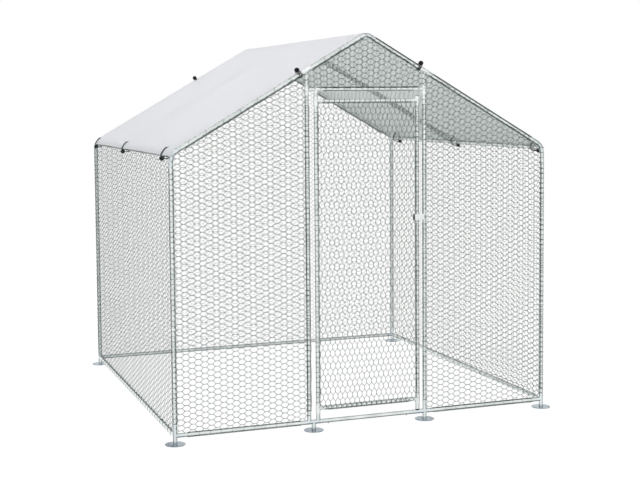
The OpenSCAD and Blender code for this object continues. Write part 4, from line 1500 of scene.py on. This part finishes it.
@dataclass
class BallLoop:
    """One doubled elastic cord that ties the sheet to a tube, with its ends and its bight in a ball.

    Attributes:
        name: the cord's name.
        axes: the loop's plane, with its origin on the tube's axis.
        route: the cord's route in that plane.
        radius: radius of the cord.
        lead: distance of each strand from the loop's plane at its end in the ball.
        apart: that distance on the way.
        pinch: that distance in the eyelet.
        bight: that distance where the strands come back to the ball, and the radius of the bight in it.
        ramp: length over which the strands draw together or apart.
        sides: sides of the cord's section.
        step: distance between two rings.
        weave: length of cord in one unit of its UV map.
    """

    name: str
    axes: Matrix
    route: LoopRoute
    radius: float = 0.0020
    lead: float = 0.0021
    apart: float = 0.0050
    pinch: float = 0.0022
    bight: float = 0.0095
    ramp: float = 0.0240
    sides: int = 8
    step: float = 0.0030
    weave: float = 0.02

    @staticmethod
    def _ease(place: float, stations: list[Flat]) -> float:
        """A value that runs smoothly from station to station.

        Args:
            place: where the value is wanted.
            stations: places in order, each with its value.

        Returns:
            The value at the place.
        """
        for (start, low), (end, high) in zip(stations, stations[1:]):
            if place <= end:
                t = (place - start) / (end - start)
                return low + (high - low) * t * t * (3 - 2 * t)
        return stations[-1][1]

    def _path(self) -> list[Vector]:
        """The cord's axis: out on one side of the loop's plane, round in the ball, and back on the other.

        Returns:
            Closely spaced points, from the loop's own axes.
        """
        flat, hole = self.route.points(self.step), Vector(self.route.eyelet)
        run = [0.0]
        for first, second in zip(flat, flat[1:]):
            run.append(run[-1] + (second - first).length)
        through = run[min(range(len(flat)), key=lambda i: (flat[i] - hole).length)]
        stations = [(0.0, self.lead), (self.ramp, self.apart), (through - self.ramp, self.apart),
                    (through, self.pinch)]
        if run[-1] - through > 2 * self.ramp:
            stations.append((through + self.ramp, self.apart))
        stations.append((run[-1], self.bight))
        there = [Vector((*point, self._ease(place, stations))) for point, place in zip(flat, run)]
        ball, into = Vector((*flat[-1], 0)), Vector((*(flat[-1] - flat[-2]).normalized(), 0))
        count = round(math.pi * self.bight / self.step)
        turns = [math.pi * k / count for k in range(1, count)]
        bight = [ball + self.bight * (into * math.sin(a) + Vector((0, 0, math.cos(a)))) for a in turns]
        return [*there, *bight, *(Vector((p.x, p.y, -p.z)) for p in reversed(there))]

    def build(self) -> None:
        path = self._path()
        turns = [2 * math.pi * k / self.sides for k in range(self.sides)]
        mesh = bmesh.new()
        uv = mesh.loops.layers.uv.new("cord")
        rings, lengths, side = [], [0.0], Vector((0, 0, 1))
        for i, point in enumerate(path):
            run = (path[min(i + 1, len(path) - 1)] - path[max(i - 1, 0)]).normalized()
            side = (side - run * side.dot(run)).normalized()
            other = run.cross(side)
            spokes = [side * math.cos(a) + other * math.sin(a) for a in turns]
            rings.append([mesh.verts.new(point + self.radius * spoke) for spoke in spokes])
            if i:
                lengths.append(lengths[-1] + (point - path[i - 1]).length)
        for i, (first, second) in enumerate(zip(rings, rings[1:])):
            for k in range(self.sides):
                j = (k + 1) % self.sides
                face = mesh.faces.new((first[k], second[k], second[j], first[j]))
                for loop, (u, v) in zip(face.loops, ((i, k), (i + 1, k), (i + 1, k + 1), (i, k + 1))):
                    loop[uv].uv = (lengths[u] / self.weave, v / self.sides)
        mesh.faces.new(rings[0])
        mesh.faces.new(rings[-1][::-1])
        bmesh.ops.recalc_face_normals(mesh, faces=mesh.faces)
        data = bpy.data.meshes.new(self.name)
        mesh.to_mesh(data)
        mesh.free()
        cord = bpy.data.objects.new(self.name, data)
        bpy.context.collection.objects.link(cord)
        Bench.place(cord, self.axes)
        Bench.smooth(cord)
        Finish.CORD.coat(cord)
        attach(cord, "frame")
        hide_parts("ball_loops")
        points = [tuple(self.axes @ p) for p in path]
        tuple(points[0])
        LOG.info("%s: %.3f m long", cord.name, lengths[-1])


@dataclass
class BallLoops:
    """The elastic loops along the eaves and on the gables, and their balls.

    Attributes:
        left: where the left eave's loops are, behind the middle of the run.
        right: where the right eave's loops are.
        gable: side of each gable loop and its distance from the middle.
        groove: half the width of a ball's parting groove.
        waist: share of a ball's radius that is left in the groove.
        tilt: how far a ball is turned in its loop, in radians.
    """

    left: tuple[float, ...] = (-0.840, 0.120, 0.960)
    right: tuple[float, ...] = (-0.955, 0.0, 0.870)
    gable: tuple[tuple[int, float], ...] = ((-1, 0.350), (1, 0.288))
    groove: float = 0.0005
    waist: float = 0.965
    tilt: float = 0.5

    def loops(self) -> list[BallLoop]:
        """Lists the loops of the two eaves and the two gables.

        Returns:
            The loops, in the order in which they are built.
        """
        run, made = RUN, []
        cos, sin = math.cos(run.pitch), math.sin(run.pitch)
        drop_x, drop_z = run.eave_inset
        for side, name, places in ((-1, "left", self.left), (1, "right", self.right)):
            down, off = Vector((side * cos, 0, -sin)), Vector((side * sin, 0, cos))
            plane = (down, off, down.cross(off))
            for i, y in enumerate(places):
                origin = (side * (run.half_w - drop_x), y, run.eave_h - drop_z)
                made.append(BallLoop(f"eave_cord_{name}_{i + 1}", frame_axes(*plane, origin), EAVE_ROUTE))
        for end, name in ((-1, "front"), (1, "rear")):
            for side, x in self.gable:
                origin = (side * x, end * run.half_d, run.eave_h + (run.half_w - x) * math.tan(run.pitch))
                inwards, off = Vector((0, -end, 0)), Vector((side * sin, 0, cos))
                axes = frame_axes(inwards, off, inwards.cross(off), origin)
                hand = "left" if side < 0 else "right"
                made.append(BallLoop(f"gable_cord_{name}_{hand}", axes, GABLE_ROUTE))
        return made

    def _ball(self) -> bpy.types.Object:
        """Models one moulded ball with a parting groove.

        Returns:
            The ball, round the origin.
        """
        Bench.clear()
        bpy.ops.mesh.primitive_uv_sphere_add(segments=28, ring_count=18, radius=RUN.ball_r)
        ball = bpy.context.object

        def equator(start: Vector, end: Vector) -> bool:
            """Whether an edge lies on the ball's equator."""
            return max(abs(start.z), abs(end.z)) < 1e-5

        with Bench.editing(ball) as mesh:
            Bench.select_edges(ball, mesh, equator)
            bpy.ops.mesh.bevel(offset=self.groove, segments=2, affect="EDGES")
            Bench.select_edges(ball, bmesh.from_edit_mesh(ball.data), equator)
            bpy.ops.transform.resize(value=(self.waist, self.waist, 1.0))
        return ball

    def build(self) -> None:
        """Builds the cords, and a ball on each."""
        pattern = self._ball()
        balls = []
        for loop in self.loops():
            loop.build()
            ball = Bench.copy(pattern, loop.name + "_ball")
            seat = Matrix.Translation((*loop.route.ball, 0)) @ Matrix.Rotation(self.tilt, 4, "X")
            Bench.place(ball, loop.axes @ seat)
            balls.append(ball)
        bpy.data.objects.remove(pattern)
        joined = Bench.join(balls, "moulded_balls")
        Bench.smooth(joined, angle=40)
        Finish.BALL.coat(joined)
        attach(joined, "frame")
        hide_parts("loop_balls")
        LOG.info("%s: %d balls", joined.name, len(balls))


@dataclass
class StudioCamera:
    """The camera, set by its place, its turns and its focal length.

    Attributes:
        place: where it stands.
        yaw: its turn to the right from the run's depth, in radians.
        pitch: its turn down from level, in radians.
        roll: its turn about the line of sight, in radians.
        focal: its focal length, in pixels.
        centre_y: row of the image that the lens's axis meets, in pixels.
        image: width and height of the image, in pixels.
        sensor: width of the sensor, in millimetres.
    """

    place: Point = (-2.3711, -6.8006, 1.6455)
    yaw: float = 0.3507
    pitch: float = 0.0715
    roll: float = -0.0078
    focal: float = 1252.28
    centre_y: float = 190.0
    image: tuple[int, int] = (640, 480)
    sensor: float = 36.0

    def build(self) -> None:
        """Adds the camera and makes it the scene's own."""
        ahead = Vector((math.sin(self.yaw) * math.cos(self.pitch), math.cos(self.yaw) * math.cos(self.pitch),
                        -math.sin(self.pitch)))
        level = Vector((math.cos(self.yaw), -math.sin(self.yaw), 0))
        above = level.cross(ahead)
        right = math.cos(self.roll) * level + math.sin(self.roll) * above
        up = -math.sin(self.roll) * level + math.cos(self.roll) * above
        lens = bpy.data.cameras.new("studio_camera")
        lens.sensor_width = self.sensor
        lens.lens = self.focal / self.image[0] * lens.sensor_width
        lens.shift_y = (self.centre_y - self.image[1] / 2) / self.image[0]
        camera = bpy.data.objects.new("studio_camera", lens)
        camera.matrix_world = frame_axes(right, up, -ahead, self.place)
        bpy.context.scene.collection.objects.link(camera)
        bpy.context.scene.camera = camera


@dataclass
class Studio:
    """White floor and background, soft lamps, and a tent of light for polished metal.

    Attributes:
        front: direction from the run to the middle of the tent's front.
        room: brightness of the gap that polished metal sees between the tent's front and back.
        screen: brightness of the tent.
        gap: where the gap's two edges fade, from 0 behind the run to 1 in front of it.
        ground: share of the tent's light that comes from the ground.
        horizon: heights between which the ground's light gives way to the tent's.
        soft: colour of the light from all round.
        tent: colour of the tent.
        floor_size: length of the floor's sides.
        floor_z: height of the floor, just under the feet.
        floor_tone: colour of the floor.
        glow: brightness that the camera sees in the floor.
        glow_share: share of that brightness, beside the floor's own colour and shadow.
        target: the point that the lamps face.
        lamps: name, place, size and power of each lamp.
    """

    front: Point = (-0.31, -0.90, 0.30)
    room: float = 0.06
    screen: float = 1.12
    gap: tuple[float, float, float, float] = (0.27, 0.31, 0.48, 0.68)
    ground: float = 0.70
    horizon: Flat = (-0.56, -0.46)
    soft: Colour = (0.72, 0.74, 0.74)
    tent: Colour = (0.98, 1.0, 1.0)
    floor_size: float = 60.0
    floor_z: float = -0.0005
    floor_tone: Colour = (0.78, 0.79, 0.79)
    glow: float = 1.06
    glow_share: float = 0.9
    target: Point = (0, 0, 0.9)
    lamps: tuple[tuple[str, Point, float, float], ...] = (
        ("front_lamp", (-3.0, -8.0, 3.2), 4.5, 90.0),
        ("top_lamp", (-2.0, 0.0, 6.0), 4.0, 170.0),
    )

    def _world(self) -> None:
        """Lights the scene evenly, shows white behind it, and the tent of light to polished metal."""
        world = bpy.data.worlds.new("white_studio")
        bpy.context.scene.world = world
        world.use_nodes = True
        world.node_tree.nodes.clear()
        nodes = Tree(world.node_tree)
        rays, aim = nodes.add("LightPath").outputs, nodes.add("TexCoord").outputs["Generated"]
        front = nodes.add("VectorMath", {0: aim, 1: self.front}, operation="DOT_PRODUCT").outputs["Value"]
        place = nodes.add("MapRange", {"Value": front, "From Min": -1.0}).outputs["Result"]
        fall = nodes.add("FloatCurve", {"Value": place})
        curve, scale = fall.mapping.curves[0], 2.0
        for point, where in zip(curve.points, (0.0, 1.0)):
            point.location = (where, self.screen / scale)
        for where, value in zip(self.gap, (self.screen, self.room, self.room, self.screen)):
            curve.points.new(where, value / scale)
        for point in curve.points:
            point.handle_type = "VECTOR"
        fall.mapping.update()
        height = nodes.add("SeparateXYZ", {0: aim}).outputs["Z"]
        low, high = self.horizon
        ground = nodes.add("MapRange", {"Value": height, "From Min": low, "From Max": high,
                                        "To Min": self.ground}).outputs["Result"]
        tent = nodes.add("Background", {"Color": (*self.tent, 1.0), "Strength": nodes.product(
            nodes.product(fall.outputs["Value"], scale), ground)})
        soft = nodes.add("Background", {"Color": (*self.soft, 1.0)})
        white = nodes.add("Background", {"Color": (1.0, 1.0, 1.0, 1.0)})
        shown = nodes.mix(rays["Is Camera Ray"], nodes.mix(rays["Is Glossy Ray"], soft, tent), white)
        nodes.add("OutputWorld", {"Surface": shown.outputs[0]})

    def _floor(self) -> None:
        """Lays a white floor that keeps a soft shadow of the run."""
        Bench.clear()
        bpy.ops.mesh.primitive_plane_add(size=self.floor_size, location=(0, 0, self.floor_z))
        floor = bpy.context.object
        floor.name = "studio_floor"
        nodes = Nodes("studio_floor_white")
        nodes.set(Base_Color=(*self.floor_tone, 1.0), Roughness=0.9, Specular_IOR_Level=0.0)
        glow = nodes.add("Emission", {"Strength": self.glow})
        seen = nodes.add("LightPath").outputs["Is Camera Ray"]
        nodes.show(nodes.mix(nodes.product(seen, self.glow_share), nodes.shader, glow))
        floor.data.materials.append(nodes.material)
        floor.visible_glossy = False

    def _lamp(self, name: str, place: Point, size: float, power: float) -> None:
        """Adds a square soft lamp that faces the run's middle.

        Args:
            name: the lamp's name.
            place: where it is.
            size: length of its sides.
            power: its power, in watts.
        """
        lamp = bpy.data.lights.new(name, "AREA")
        lamp.size = size
        lamp.energy = power
        holder = bpy.data.objects.new(name, lamp)
        holder.visible_glossy = False
        holder.location = place
        aim = Vector(self.target) - Vector(place)
        holder.rotation_euler = aim.to_track_quat("-Z", "Y").to_euler()
        bpy.context.scene.collection.objects.link(holder)

    def build(self) -> None:
        """Sets up the world, the floor and the lamps."""
        bpy.context.scene.view_settings.view_transform = "Standard"
        self._world()
        self._floor()
        for lamp in self.lamps:
            self._lamp(*lamp)


def main() -> None:
    """Builds the camera, the studio and the run's pieces in order."""
    logging.basicConfig(level=logging.INFO, format="%(name)s %(message)s")
    StudioCamera().build()
    Studio().build()
    FrameDress().dress()
    KnuckleSleeve().build()
    Netting().build()
    RoofSheet().build()
    BallLoops().build()


if __name__ == "__main__":
    main()
